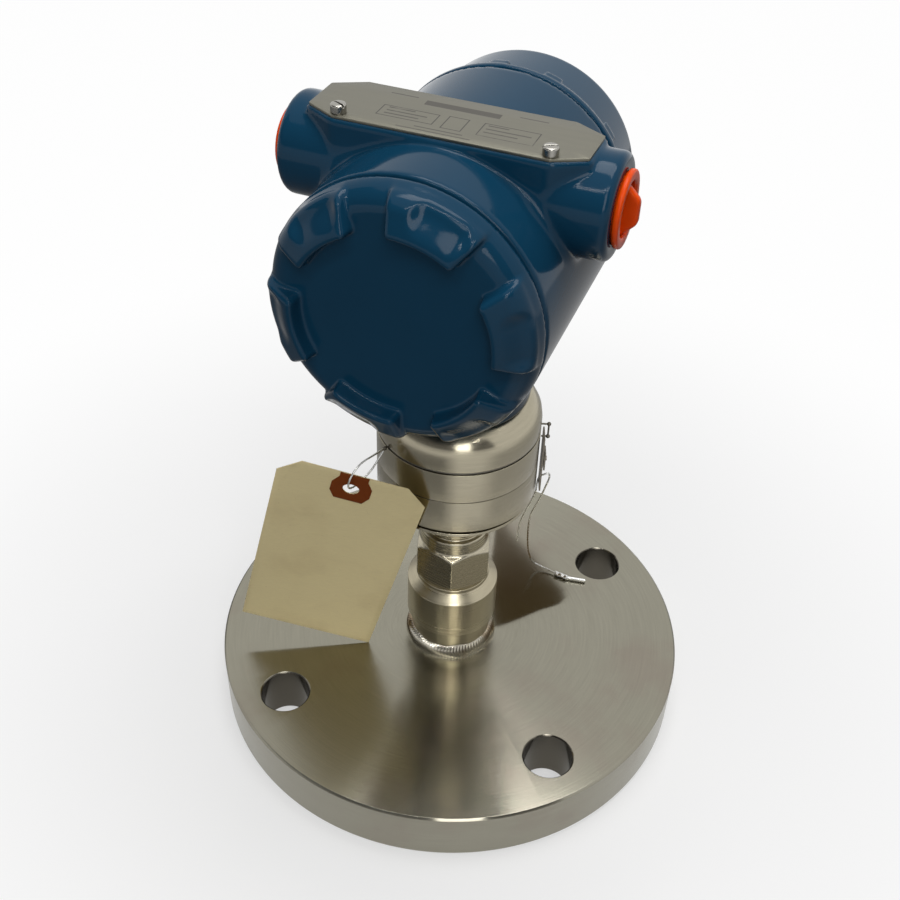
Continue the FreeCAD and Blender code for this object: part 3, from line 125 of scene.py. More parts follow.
@dataclass
class FieldNet:
    """Turns a distance field into a smooth mesh of quads that lies on its surface.

    The probe is the share of a step over which the field's slope is measured.
    """

    shape: Field
    low: Point
    high: Point
    step: float
    rounds: int = 4
    settling: int = 2
    probe: float = 0.1

    def build(self, name: str, place: Callable[[np.ndarray], np.ndarray]) -> bpy.types.Mesh:
        """Mesh the field.

        Args:
            name: name of the mesh.
            place: moves points from the field's own frame to the CAD frame, in millimetres.

        Returns:
            A mesh in metres with the field's own normals.
        """
        axes = [np.arange(a, b + self.step, self.step) for a, b in zip(self.low, self.high)]
        grid = self.shape(*np.meshgrid(*axes, indexing="ij"))
        numbers, points = self._cells(grid)
        quads = self._quads(grid < 0, numbers)
        for _ in range(self.rounds):
            points = self._settled(self._relaxed(points, quads))
        points = self._settled(points)
        tips = place(points + self._slope(points)) - place(points)
        for _ in range(self.rounds):
            tips = self._relaxed(tips, quads)
        mesh = bpy.data.meshes.new(name)
        mesh.from_pydata((place(points) * MM).tolist(), [], quads.tolist())
        mesh.validate()
        mesh.shade_smooth()
        normals = tips / np.linalg.norm(tips, axis=1)[:, None]
        mesh.normals_split_custom_set_from_vertices(normals.tolist())
        return mesh

    def _cells(self, grid: np.ndarray) -> tuple[np.ndarray, np.ndarray]:
        """Number the cells that the surface crosses and give each a first point."""
        size = np.array(grid.shape) - 1
        corners = list(itertools.product((0, 1), repeat=3))
        part = {c: grid[tuple(slice(o, o + n) for o, n in zip(c, size))] for c in corners}
        inside = sum((values < 0).astype(int) for values in part.values())
        active = (inside > 0) & (inside < len(corners))
        numbers = np.full(size, -1)
        numbers[active] = np.arange(active.sum())
        total = np.zeros((active.sum(), 3))
        count = np.zeros(active.sum())
        for start, end in itertools.combinations(corners, 2):
            if sum(abs(a - b) for a, b in zip(start, end)) != 1:
                continue
            first, second = part[start][active], part[end][active]
            crosses = (first < 0) != (second < 0)
            share = np.where(crosses, first / np.where(crosses, first - second, 1), 0)
            spot = np.array(start) + share[:, None] * (np.array(end) - np.array(start))
            total += spot * crosses[:, None]
            count += crosses
        cells = np.argwhere(active) + total / count[:, None]
        return numbers, np.array(self.low) + cells * self.step

    @staticmethod
    def _quads(inside: np.ndarray, numbers: np.ndarray) -> np.ndarray:
        """One quad for each grid edge that leaves the solid, facing outward."""
        found = []
        for axis in range(3):
            u, v = (axis + 1) % 3, (axis + 2) % 3
            length = inside.shape[axis]
            first = np.take(inside, range(length - 1), axis)
            second = np.take(inside, range(1, length), axis)
            edges = np.argwhere(first != second)
            held = np.logical_and.reduce([
                edges[:, u] > 0, edges[:, v] > 0,
                edges[:, u] < inside.shape[u] - 1, edges[:, v] < inside.shape[v] - 1])
            edges = edges[held]
            ring = []
            for du, dv in ((1, 1), (0, 1), (0, 0), (1, 0)):
                cell = edges.copy()
                cell[:, u] -= du
                cell[:, v] -= dv
                ring.append(numbers[tuple(cell.T)])
            quads = np.stack(ring, axis=1)
            inward = ~first[tuple(edges.T)]
            quads[inward] = quads[inward][:, ::-1]
            found.append(quads)
        return np.concatenate(found)

    @staticmethod
    def _relaxed(points: np.ndarray, quads: np.ndarray) -> np.ndarray:
        """Move each point half way to the middle of its neighbours."""
        total = np.zeros_like(points)
        count = np.zeros(len(points))
        for turn in (1, 3):
            here, there = quads.ravel(), np.roll(quads, turn, axis=1).ravel()
            count += np.bincount(here, minlength=len(points))
            for axis in range(3):
                total[:, axis] += np.bincount(here, points[there, axis], minlength=len(points))
        return (points + total / count[:, None]) / 2

    def _slope(self, points: np.ndarray) -> np.ndarray:
        """Unit slope of the field at each point."""
        reach = self.step * self.probe
        slope = np.zeros_like(points)
        for axis in range(3):
            shift = np.zeros(3)
            shift[axis] = reach
            slope[:, axis] = self.shape(*(points + shift).T) - self.shape(*(points - shift).T)
        return slope / np.maximum(np.linalg.norm(slope, axis=1), TINY)[:, None]

    def _settled(self, points: np.ndarray) -> np.ndarray:
        """Bring points down onto the surface."""
        for _ in range(self.settling):
            reach = np.clip(self.shape(*points.T), -self.step, self.step)
            points = points - self._slope(points) * reach[:, None]
        return points


# Mesh tools

CRISP_ANGLE = 40.0
MERGE_REACH = 1e-6
SLIVER = 1e-7
SHEET_REACH = 1e-5
HOLE_SIDES = 32
HOLE_INSIDE = 0.98
EDGE_CHORDS = 2
EDGE_ANGLE = 50.0


def wavering(angle: float, waves: Sequence[Wave]) -> float:
    """Sum of sine waves round a circle, each given by its size, count and start."""
    return sum(size * math.sin(count * angle + start) for size, count, start in waves)


def rounded(corners: Sequence[Sequence[float]], chords: int = 5) -> list[tuple[float, float]]:
    """Outline whose corners may carry a fillet radius as a third number.

    Args:
        corners: (x, y) or (x, y, radius) in order round a closed outline.
        chords: straight pieces in each fillet.

    Returns:
        The outline's points, with short chords in place of each filleted corner.
    """
    points = []
    for index, corner in enumerate(corners):
        here = Vector(corner[:2])
        if len(corner) < 3:
            points.append(tuple(here))
            continue
        before = (Vector(corners[index - 1][:2]) - here).normalized()
        after = (Vector(corners[(index + 1) % len(corners)][:2]) - here).normalized()
        half = before.angle(after) / 2
        setback = corner[2] / math.tan(half)
        centre = here + (before + after).normalized() * (corner[2] / math.sin(half))
        start = here + before * setback - centre
        turn = start.angle_signed(here + after * setback - centre)
        for step in range(chords + 1):
            spoke = start.copy()
            spoke.rotate(Matrix.Rotation(-turn * step / chords, 2))
            points.append(tuple(centre + spoke))
    return points


def lathe(name: str, profile: Sequence[Sequence[float]], segments: int = 192,
          sharp: float = CRISP_ANGLE) -> bpy.types.Mesh:
    """Turn a closed (radius, height) profile round the Z axis.

    Args:
        name: name of the mesh.
        profile: corners in millimetres, counter-clockwise seen with radius to the right.
        segments: steps round the axis.
        sharp: edges that bend more than this many degrees stay crisp.

    Returns:
        A closed mesh in metres.
    """
    outline = rounded(profile)
    build = bmesh.new()
    rings = []
    for step in range(segments):
        angle = 2 * math.pi * step / segments
        spin = (math.cos(angle), math.sin(angle))
        rings.append([build.verts.new((r * spin[0] * MM, r * spin[1] * MM, z * MM)) for r, z in outline])
    for here, there in zip(rings, rings[1:] + rings[:1]):
        for low in range(len(outline)):
            high = (low + 1) % len(outline)
            build.faces.new((here[low], there[low], there[high], here[high]))
    bmesh.ops.remove_doubles(build, verts=build.verts, dist=MERGE_REACH)
    bmesh.ops.dissolve_degenerate(build, edges=build.edges, dist=SLIVER)
    bmesh.ops.recalc_face_normals(build, faces=build.faces)
    return finished(name, build, sharp)


def finished(name: str, build: bmesh.types.BMesh, sharp: float = CRISP_ANGLE) -> bpy.types.Mesh:
    """Write a bmesh to a mesh with smooth shading and crisp edges over an angle."""
    mesh = bpy.data.meshes.new(name)
    build.to_mesh(mesh)
    build.free()
    mesh.shade_smooth()
    mesh.set_sharp_from_angle(angle=math.radians(sharp))
    return mesh


def inside_outline(spot: Sequence[float], outline: Sequence[Sequence[float]]) -> bool:
    """True if a point lies inside a closed outline."""
    found = False
    for (x0, y0), (x1, y1) in zip(outline, list(outline[1:]) + [outline[0]]):
        if (y0 > spot[1]) == (y1 > spot[1]):
            continue
        if spot[0] < x0 + (spot[1] - y0) * (x1 - x0) / (y1 - y0):
            found = not found
    return found


def sheet_mesh(name: str, outline: Sequence[Sequence[float]], holes: Sequence[Sequence[float]],
               spacing: float, place: Callable[[float, float], Vector]) -> bpy.types.Mesh:
    """Flat sheet of even triangles, laid in space point by point.

    Args:
        name: name of the mesh.
        outline: closed outline in the sheet's own plane, in millimetres.
        holes: (x, y, radius) of each round hole.
        spacing: distance between inner points.
        place: gives the place of a point of the sheet in the CAD frame, in millimetres.

    Returns:
        A mesh in metres with no thickness.
    """
    loops = [list(outline)]
    for x, y, radius in holes:
        turns = [2 * math.pi * step / HOLE_SIDES for step in range(HOLE_SIDES)]
        loops.append([(x + radius * math.cos(a), y + radius * math.sin(a)) for a in turns])
    points, edges = [], []
    for loop in loops:
        start = len(points)
        edges += [(start + i, start + (i + 1) % len(loop)) for i in range(len(loop))]
        points += [Vector(p) for p in loop]
    low = [min(p[axis] for p in outline) for axis in range(2)]
    high = [max(p[axis] for p in outline) for axis in range(2)]
    for row in range(1, int((high[1] - low[1]) / spacing)):
        for column in range(1, int((high[0] - low[0]) / spacing)):
            shift = (row % 2) / 2
            spot = Vector((low[0] + (column + shift) * spacing, low[1] + row * spacing))
            clear = all((spot - Vector((x, y))).length > radius + spacing / 3 for x, y, radius in holes)
            if clear and inside_outline(spot, outline):
                points.append(spot)
    flat, _, faces, *_ = delaunay_2d_cdt(points, edges, [], 0, SHEET_REACH)
    build = bmesh.new()
    verts = [build.verts.new(place(*p) * MM) for p in flat]
    for face in faces:
        middle = sum((flat[i] for i in face), Vector((0, 0))) / len(face)
        if not inside_outline(middle, outline):
            continue
        if any((middle - Vector((x, y))).length < radius * HOLE_INSIDE for x, y, radius in holes):
            continue
        build.faces.new([verts[i] for i in face])
    loose = [v for v in build.verts if not v.link_faces]
    bmesh.ops.delete(build, geom=loose, context="VERTS")
    return finished(name, build)


def tube_mesh(name: str, centres: Sequence[Vector], radii: Sequence[Sequence[float]],
              sides: int = 24) -> bpy.types.Mesh:
    """Closed tube through some centres, with an oval section at each.

    Args:
        name: name of the mesh.
        centres: points along the tube in millimetres, nearly in line.
        radii: half width and half height of the section at each centre.
        sides: corners of a section.

    Returns:
        A closed mesh in metres.
    """
    heading = (centres[-1] - centres[0]).normalized()
    across = heading.cross(Vector((0, 0, 1))).normalized()
    rise = across.cross(heading)
    build = bmesh.new()
    rings = []
    for centre, (wide, tall) in zip(centres, radii):
        turns = [2 * math.pi * step / sides for step in range(sides)]
        spots = [centre + across * (wide * math.cos(a)) + rise * (tall * math.sin(a)) for a in turns]
        rings.append([build.verts.new(spot * MM) for spot in spots])
    for here, there in zip(rings, rings[1:]):
        for side in range(sides):
            after = (side + 1) % sides
            build.faces.new((here[side], here[after], there[after], there[side]))
    build.faces.new(rings[0][::-1])
    build.faces.new(rings[-1])
    bmesh.ops.recalc_face_normals(build, faces=build.faces)
    return finished(name, build)


# Shaders

class Value:
    """A shader socket that takes part in Python expressions."""

    def __init__(self, graph: "Graph", socket: bpy.types.NodeSocket) -> None:
        """Wrap one output socket of a graph."""
        self.graph = graph
        self.socket = socket

    def __add__(self, other: "Term") -> "Value":
        """Sum of two values."""
        return self.graph.math("ADD", self, other)

    def __radd__(self, other: "Term") -> "Value":
        """Sum with a plain number on the left."""
        return self.graph.math("ADD", other, self)

    def __sub__(self, other: "Term") -> "Value":
        """Difference of two values."""
        return self.graph.math("SUBTRACT", self, other)

    def __rsub__(self, other: "Term") -> "Value":
        """Difference with a plain number on the left."""
        return self.graph.math("SUBTRACT", other, self)

    def __mul__(self, other: "Term") -> "Value":
        """Product of two values."""
        return self.graph.math("MULTIPLY", self, other)

    def __rmul__(self, other: "Term") -> "Value":
        """Product with a plain number on the left."""
        return self.graph.math("MULTIPLY", other, self)

    def __truediv__(self, other: "Term") -> "Value":
        """Quotient of two values."""
        return self.graph.math("DIVIDE", self, other)

    def __rtruediv__(self, other: "Term") -> "Value":
        """Quotient with a plain number on the left."""
        return self.graph.math("DIVIDE", other, self)

    def __pow__(self, other: "Term") -> "Value":
        """Power of a value."""
        return self.graph.math("POWER", self, other)

    def __rpow__(self, other: "Term") -> "Value":
        """Power of a plain number on the left."""
        return self.graph.math("POWER", other, self)

    def __abs__(self) -> "Value":
        """Size of a value without its sign."""
        return self.graph.math("ABSOLUTE", self)

    def most(self, other: "Term") -> "Value":
        """Larger of two values."""
        return self.graph.math("MAXIMUM", self, other)

    def fade(self, start: float, end: float) -> "Value":
        """Smooth step from 0 at start to 1 at end."""
        settings = {"interpolation_type": "SMOOTHSTEP"}
        inputs = {"Value": self, "From Min": start, "From Max": end, "To Min": 0.0, "To Max": 1.0}
        return self.graph.node("ShaderNodeMapRange", settings, inputs)


Term = Union[Value, float]


class Graph:
    """Adds nodes to one node tree."""

    def __init__(self, tree: bpy.types.NodeTree) -> None:
        """Start with an empty tree."""
        self.tree = tree
        tree.nodes.clear()

    def add(self, kind: str, settings: dict | None = None, inputs: dict | None = None) -> bpy.types.Node:
        """Add any node.

        Args:
            kind: the node's type.
            settings: its own settings; "stops" holds a ramp's (place, colour) pairs.
            inputs: plain values or links for its sockets, by name or number.

        Returns:
            The new node.
        """
        made = self.tree.nodes.new(kind)
        for name, setting in (settings or {}).items():
            if name == "stops":
                self._set_stops(made.color_ramp, setting)
            else:
                setattr(made, name, setting)
        for key, item in (inputs or {}).items():
            self.feed(made.inputs[key], item)
        return made

    def node(self, kind: str, settings: dict | None = None, inputs: dict | None = None,
             output: int | str = 0) -> Value:
        """Add any node and take one of its outputs."""
        return Value(self, self.add(kind, settings, inputs).outputs[output])

    @staticmethod
    def _set_stops(ramp: bpy.types.ColorRamp, stops: Sequence[tuple[float, Colour]]) -> None:
        """Give a colour ramp its stops."""
        while len(ramp.elements) < len(stops):
            ramp.elements.new(1.0)
        for element, (spot, colour) in zip(ramp.elements, stops):
            element.position = spot
            element.color = (*colour, 1.0)

    def feed(self, socket: bpy.types.NodeSocket, item: object) -> None:
        """Link a value to a socket, or set a plain number or colour on it."""
        if isinstance(item, Value):
            self.tree.links.new(item.socket, socket)
        elif socket.type == "RGBA" and len(item) == 3:
            socket.default_value = (*item, 1.0)
        else:
            socket.default_value = item

    def math(self, operation: str, *terms: Term) -> Value:
        """Add a Math node on one or two terms."""
        return self.node("ShaderNodeMath", {"operation": operation}, dict(enumerate(terms)))

    def blend(self, share: Value, first: object, second: object) -> Value:
        """Mix two colours by a share."""
        return self.node("ShaderNodeMix", {"data_type": "RGBA"}, {0: share, 6: first, 7: second}, 2)

    def around(self, share: Value, colour: Colour, darker: float, lighter: float) -> Value:
        """Vary a colour from a little darker at share 0 to a little lighter at share 1."""
        return self.blend(share, shade(colour, 1 - darker), shade(colour, 1 + lighter))

    def place(self) -> Value:
        """Coordinates of the surface in the part's own frame, in metres."""
        return self.node("ShaderNodeTexCoord", output="Object")

    def split(self, vector: Value) -> tuple[Value, Value, Value]:
        """The three parts of a vector."""
        parts = self.add("ShaderNodeSeparateXYZ", inputs={0: vector})
        return tuple(Value(self, socket) for socket in parts.outputs)

    def bundle(self, x: Term, y: Term, z: Term) -> Value:
        """A vector from its three parts."""
        return self.node("ShaderNodeCombineXYZ", inputs={0: x, 1: y, 2: z})

    def noise(self, vector: Value, scale: float, detail: float = 2.0, rough: float = 0.5) -> Value:
        """Soft noise from 0 to 1."""
        inputs = {"Vector": vector, "Scale": scale, "Detail": detail, "Roughness": rough}
        return self.node("ShaderNodeTexNoise", inputs=inputs)

    def lines(self, along: Value, scale: float, detail: float = 3.0) -> Value:
        """Noise that changes along one value only."""
        inputs = {"W": along, "Scale": scale, "Detail": detail}
        return self.node("ShaderNodeTexNoise", {"noise_dimensions": "1D"}, inputs)

    def bump(self, height: Value, strength: float, distance: float, under: Value | None = None) -> Value:
        """Normal with a height field worked into it."""
        inputs = {"Height": height, "Strength": strength, "Distance": distance}
        if under is not None:
            inputs["Normal"] = under
        return self.node("ShaderNodeBump", inputs=inputs)


class Surface(Graph):
    """Nodes of one material."""

    def __init__(self, name: str) -> None:
        """Start a material with an empty tree."""
        self.material = bpy.data.materials.new(name)
        self.material.use_nodes = True
        super().__init__(self.material.node_tree)

    def show(self, shader: Value) -> bpy.types.Material:
        """Make a shader the material's surface."""
        self.add("ShaderNodeOutputMaterial", inputs={"Surface": shader})
        return self.material


class Shader(Surface):
    """One surface material with a Principled shader."""

    def __init__(self, name: str) -> None:
        """Start a material with its shader and output."""
        super().__init__(name)
        self.surface = self.add("ShaderNodeBsdfPrincipled")
        self.show(Value(self, self.surface.outputs[0]))

    def set(self, sockets: dict[str, object]) -> None:
        """Set or link the shader's sockets by name."""
        for name, item in sockets.items():
            self.feed(self.surface.inputs[name], item)


def shade(colour: Colour, factor: float) -> Colour:
    """A colour made lighter or darker by a factor."""
    return tuple(min(1.0, part * factor) for part in colour)


# Finishes

@dataclass(frozen=True)
class Finish:
    """A surface finish: the slot that it belongs to and its own colour."""

    name: str
    slot: str
    colour: Colour
    roughness: float

    def paint(self, shader: Shader) -> None:
        """Add the finish's nodes to a shader."""
        raise NotImplementedError


@functools.lru_cache(maxsize=None)
def material_of(finish: Finish) -> bpy.types.Material:
    """The material of a finish, made once."""
    shader = Shader(finish.name)
    finish.paint(shader)
    return shader.material


@dataclass(frozen=True)
class GlossPaint(Finish):
    """Baked gloss paint on a casting: faint orange peel and handling marks."""

    mottle_scale: float = 38.0
    mottle_tone: float = 0.1
    mark_scale: float = 210.0
    mark_range: Span = (0.56, 0.74)
    peel_scale: float = 700.0
    cast_scale: float = 120.0
    shine: float = 0.12

    def paint(self, shader: Shader) -> None:
        """Add the paint's nodes."""
        spot = shader.place()
        mottle = shader.noise(spot, self.mottle_scale, detail=4.0)
        marks = shader.noise(spot, self.mark_scale, detail=6.0, rough=0.7).fade(*self.mark_range)
        peel = shader.noise(spot, self.peel_scale, detail=1.0)
        cast = shader.noise(spot, self.cast_scale, detail=2.0)
        normal = shader.bump(peel, strength=0.01, distance=0.0002)
        normal = shader.bump(cast, strength=0.012, distance=0.0006, under=normal)
        shader.set({
            "Base Color": shader.around(mottle, self.colour, self.mottle_tone, self.mottle_tone),
            "Roughness": self.roughness + 0.04 * mottle + 0.1 * marks,
            "Specular IOR Level": self.shine,
            "Normal": normal,
        })


@dataclass(frozen=True)
class TurnedSteel(Finish):
    """Stainless steel turned and brushed round the stem's axis, with stains and fine scratches."""

    stain: Colour = (0.3, 0.24, 0.17)
    stain_share: float = 0.35
    stain_range: Span = (0.48, 0.72)
    cloud_scale: float = 22.0
    ring_scale: float = 2600.0
    ring_depth: float = 0.0001
    climb: float = 0.8
    stroke: float = 0.13
    stroke_scale: float = 14.0
    stroke_fineness: float = 90.0
    stroke_turn: float = 0.25
    scratch_scale: float = 900.0
    scratch_run: float = 60.0
    scratch_range: Span = (0.7, 0.76)
    anisotropy: float = 0.6

    def run(self, radius: Value, z: Value) -> Value:
        """Value that stays the same along a tool mark."""
        return radius + self.climb * z

    def cut_depth(self) -> float:
        """Strength of the tool marks' relief, which goes with how much they show."""
        return 0.7 * self.stroke

    def toned(self, shader: Shader, tone: Value, radius: Value, angle: Value) -> Value:
        """Colour with painted shade in the piece's own holes, none on a plain turned piece."""
        return tone

    def paint(self, shader: Shader) -> None:
        """Add the steel's nodes."""
        spot = shader.place()
        x, y, z = shader.split(spot)
        radius = (x * x + y * y) ** 0.5
        angle = shader.math("ARCTAN2", y, x)
        along = self.run(radius, z)
        rings = shader.lines(along, self.ring_scale)
        fine = self.stroke_fineness
        sweep = shader.bundle(along * fine, angle * self.stroke_turn, z * fine)
        strokes = shader.noise(sweep, self.stroke_scale, detail=4.0, rough=0.6)
        clouds = shader.noise(spot, self.cloud_scale, detail=5.0, rough=0.6)
        stains = clouds.fade(*self.stain_range) * self.stain_share
        course = shader.bundle(x * self.scratch_scale, y * self.scratch_run, z * self.scratch_scale)
        scratch = shader.noise(course, 1.0, detail=3.0).fade(*self.scratch_range)
        brushed = shader.around(strokes, self.colour, self.stroke, self.stroke)
        tone = shader.blend(stains, brushed, self.stain)
        shader.set({
            "Base Color": self.toned(shader, tone, radius, angle),
            "Metallic": 1.0,
            "Roughness": self.roughness + 0.12 * rings + 0.12 * stains + 0.02 * scratch,
            "Anisotropic": self.anisotropy,
            "Anisotropic Rotation": 0.25,
            "Normal": shader.bump(rings + 0.6 * strokes, strength=self.cut_depth(), distance=self.ring_depth),
        })


@dataclass(frozen=True)
class MilledSteel(TurnedSteel):
    """Steel with flats that were milled level, round a turned stem."""

    def run(self, radius: Value, z: Value) -> Value:
        """Value that stays the same along a level tool mark."""
        return self.climb * z


@dataclass(frozen=True)
class HoleShadedSteel(TurnedSteel):
    """Turned steel with painted shade on the walls of its bolt holes."""

    # bore is the colour of the painted shade inside the bolt holes
    bore: Colour = (0.11, 0.1, 0.08)
    hole_circle: float = BOLT_CIRCLE
    hole_angle: float = BOLT_ANGLE
    hole_radius: float = 9.9
    hole_shade_soft: float = 0.1

    def toned(self, shader: Shader, tone: Value, radius: Value, angle: Value) -> Value:
        """Colour with painted shade on the walls of the bolt holes."""
        quarter = math.pi / 2
        turned = angle - math.radians(self.hole_angle) + quarter / 2
        turned = shader.math("FLOORED_MODULO", turned, quarter) - quarter / 2
        across = radius * shader.math("COSINE", turned) - self.hole_circle * MM
        along = radius * shader.math("SINE", turned)
        distance = (across * across + along * along) ** 0.5
        # painted shade: the hole walls fade to the bore colour
        inside = distance.fade(self.hole_radius * MM, (self.hole_radius - self.hole_shade_soft) * MM)
        return shader.blend(inside, tone, self.bore)


@dataclass(frozen=True)
class WeldSteel(Finish):
    """Weld metal with faint straw and brown heat tints."""

    straw: Colour = (0.26, 0.2, 0.13)
    brown: Colour = (0.16, 0.13, 0.1)
    heat_scale: float = 95.0
    grain_scale: float = 1500.0

    def paint(self, shader: Shader) -> None:
        """Add the weld's nodes."""
        spot = shader.place()
        heat = shader.noise(spot, self.heat_scale, detail=3.0)
        stops = (
            (0.3, self.colour), (0.5, shade(self.colour, 0.8)), (0.62, self.straw),
            (0.72, self.brown), (0.85, shade(self.colour, 0.9)))
        tint = shader.node("ShaderNodeValToRGB", {"stops": stops}, {0: heat})
        grain = shader.noise(spot, self.grain_scale, detail=3.0)
        shader.set({
            "Base Color": tint,
            "Metallic": 1.0,
            "Roughness": self.roughness + 0.2 * grain,
            "Normal": shader.bump(grain, strength=0.15, distance=0.0002),
        })


@dataclass(frozen=True)
class EtchedPlate(Finish):
    """Brushed nameplate with etched frames and blank entry lines."""

    ink: Colour = (0.05, 0.045, 0.04)
    middle: tuple[float, float] = (0.0, SADDLE_MIDDLE)
    boxes: tuple[Patch, ...] = (
        ((-2.0, 4.6), (-7.4, 1.2)), ((9.0, 26.5), (-7.4, 1.2)), ((-22.5, -4.5), (-6.6, 0.6)))
    bars: tuple[Patch, ...] = (
        ((10.5, 17.0), (-0.6, 0.2)), ((10.5, 24.5), (-2.8, -2.0)), ((10.5, 21.0), (-5.0, -4.2)),
        ((-20.5, -12.0), (-1.0, -0.2)), ((-20.5, -7.5), (-3.0, -2.2)), ((-20.5, -9.5), (-5.0, -4.2)),
        ((-12.0, 12.0), (5.2, 8.4)), ((-24.0, -15.0), (8.6, 9.3)), ((17.0, 26.0), (8.6, 9.3)),
        ((-9.0, 6.0), (-9.6, -8.9)), ((-14.0, 9.0), (-11.4, -10.7)))
    bar_ink: float = 0.8
    line: float = 0.35
    soft: float = 0.15
    brush_run: float = 60.0
    brush_scale: float = 2600.0
    wear_scale: float = 70.0
    wear_range: Span = (0.25, 0.45)

    def paint(self, shader: Shader) -> None:
        """Add the plate's nodes."""
        spot = shader.place()
        x, y, z = shader.split(spot)
        brushed = shader.noise(shader.bundle(x * self.brush_run, y * self.brush_scale, z), 1.0, detail=4.0)
        wear = shader.noise(spot, self.wear_scale, detail=5.0, rough=0.65)
        u = x / MM - self.middle[0]
        v = y / MM - self.middle[1]
        marks = [self._box(u, v, *box) for box in self.boxes]
        marks += [self._bar(u, v, *bar) * self.bar_ink for bar in self.bars]
        worn = functools.reduce(Value.most, marks) * wear.fade(*self.wear_range)
        tone = shader.around(brushed, self.colour, 0.15, 0.12)
        shader.set({
            "Base Color": shader.blend(worn, tone, self.ink),
            "Metallic": 1.0 - 0.7 * worn,
            "Roughness": self.roughness + 0.16 * brushed + 0.2 * worn,
            "Normal": shader.bump(brushed - worn, strength=0.08, distance=0.0001),
        })

    def _bar(self, u: Value, v: Value, across: Span, along: Span) -> Value:
        """Mask of a filled bar with soft edges."""
        masks = []
        for value, (low, high) in ((u, across), (v, along)):
            half = (high - low) / 2
            masks.append(abs(value - (low + high) / 2).fade(half, half - self.soft))
        return masks[0] * masks[1]

    def _box(self, u: Value, v: Value, across: Span, along: Span) -> Value:
        """Mask of an empty box drawn with a thin line."""
        inner = [(low + self.line, high - self.line) for low, high in (across, along)]
        return self._bar(u, v, across, along) - self._bar(u, v, *inner)


@dataclass(frozen=True)
class MouldedPlastic(Finish):
    """Moulded plastic with a little light inside it and faint flow marks."""

    glow: float = 0.0
    glow_reach: Colour = (0.004, 0.0014, 0.0006)
    grain: float = 0.05
    grain_scale: float = 1600.0
    flow_scale: float = 130.0
    shine: float = 0.15

    def paint(self, shader: Shader) -> None:
        """Add the plastic's nodes."""
        spot = shader.place()
        flow = shader.noise(spot, self.flow_scale, detail=4.0)
        fine = shader.noise(spot, self.grain_scale, detail=2.0)
        shader.set({
            "Base Color": shader.around(flow, self.colour, 0.14, 0.1),
            "Roughness": self.roughness + 0.12 * flow,
            "Specular IOR Level": self.shine,
            "Subsurface Weight": self.glow,
            "Subsurface Radius": self.glow_reach,
            "Normal": shader.bump(fine, strength=self.grain, distance=0.0002),
        })


@dataclass(frozen=True)
class TagCard(Finish):
    """Manila card: fibres, soft creases and handling stains."""

    fibre: Colour = (0.62, 0.47, 0.24)
    fibre_run: float = 420.0
    fibre_scale: float = 1400.0
    stain_scale: float = 34.0
    stain_range: Span = (0.45, 0.75)
    speck_scale: float = 900.0
    speck_range: Span = (0.68, 0.76)
    crease_scale: float = 26.0
    crease_width: float = 0.02
    shine: float = 0.1

    def paint(self, shader: Shader) -> None:
        """Add the card's nodes."""
        spot = shader.place()
        x, y, z = shader.split(spot)
        course = shader.bundle(x * self.fibre_run, y * self.fibre_run, z * self.fibre_scale)
        fibres = shader.noise(course, 1.0, detail=5.0, rough=0.7)
        stains = shader.noise(spot, self.stain_scale, detail=4.0, rough=0.55).fade(*self.stain_range)
        specks = shader.noise(spot, self.speck_scale, detail=2.0).fade(*self.speck_range)
        creases = abs(shader.noise(spot, self.crease_scale, detail=1.0) - 0.5).fade(self.crease_width, 0.0)
        tone = shader.around(fibres, self.colour, 0.08, 0.06)
        shader.set({
            "Base Color": shader.blend(0.28 * stains + 0.25 * specks, tone, self.fibre),
            "Roughness": self.roughness + 0.1 * fibres,
            "Specular IOR Level": self.shine,
            "Normal": shader.bump(fibres + 1.2 * creases, strength=0.12, distance=0.0003),
        })


@dataclass(frozen=True)
class DrawnWire(Finish):
    """Bright drawn or rolled metal with long fine streaks."""

    streak_scale: float = 800.0
    dull_scale: float = 60.0

    def paint(self, shader: Shader) -> None:
        """Add the metal's nodes."""
        spot = shader.place()
        streaks = shader.noise(spot, self.streak_scale, detail=3.0)
        dull = shader.noise(spot, self.dull_scale, detail=4.0)
        shader.set({
            "Base Color": shader.around(dull, self.colour, 0.2, 0.15),
            "Metallic": 1.0,
            "Roughness": self.roughness + 0.15 * streaks,
            "Normal": shader.bump(streaks, strength=0.08, distance=0.0001),
        })


@dataclass(frozen=True)
class CircuitBoard(Finish):
    """Solder-masked board with pale traces under the mask."""

    trace: Colour = (0.1, 0.34, 0.16)
    trace_scale: float = 260.0
    trace_range: Span = (0.1, 0.05)

    def paint(self, shader: Shader) -> None:
        """Add the board's nodes."""
        inputs = {"Vector": shader.place(), "Scale": self.trace_scale}
        cells = shader.node("ShaderNodeTexVoronoi", {"feature": "DISTANCE_TO_EDGE"}, inputs)
        traces = cells.fade(*self.trace_range)
        shader.set({
            "Base Color": shader.blend(traces, self.colour, self.trace),
            "Roughness": self.roughness + 0.1 * traces,
            "Normal": shader.bump(traces, strength=0.2, distance=0.0001),
        })


@dataclass(frozen=True)
class WindowGlass(Finish):
    """Clear window glass with faint smears."""

    smear_scale: float = 90.0
    refraction: float = 1.5

    def paint(self, shader: Shader) -> None:
        """Add the glass's nodes."""
        smear = shader.noise(shader.place(), self.smear_scale, detail=4.0)
        shader.set({
            "Base Color": self.colour,
            "Roughness": self.roughness + 0.05 * smear,
            "Transmission Weight": 1.0,
            "IOR": self.refraction,
        })


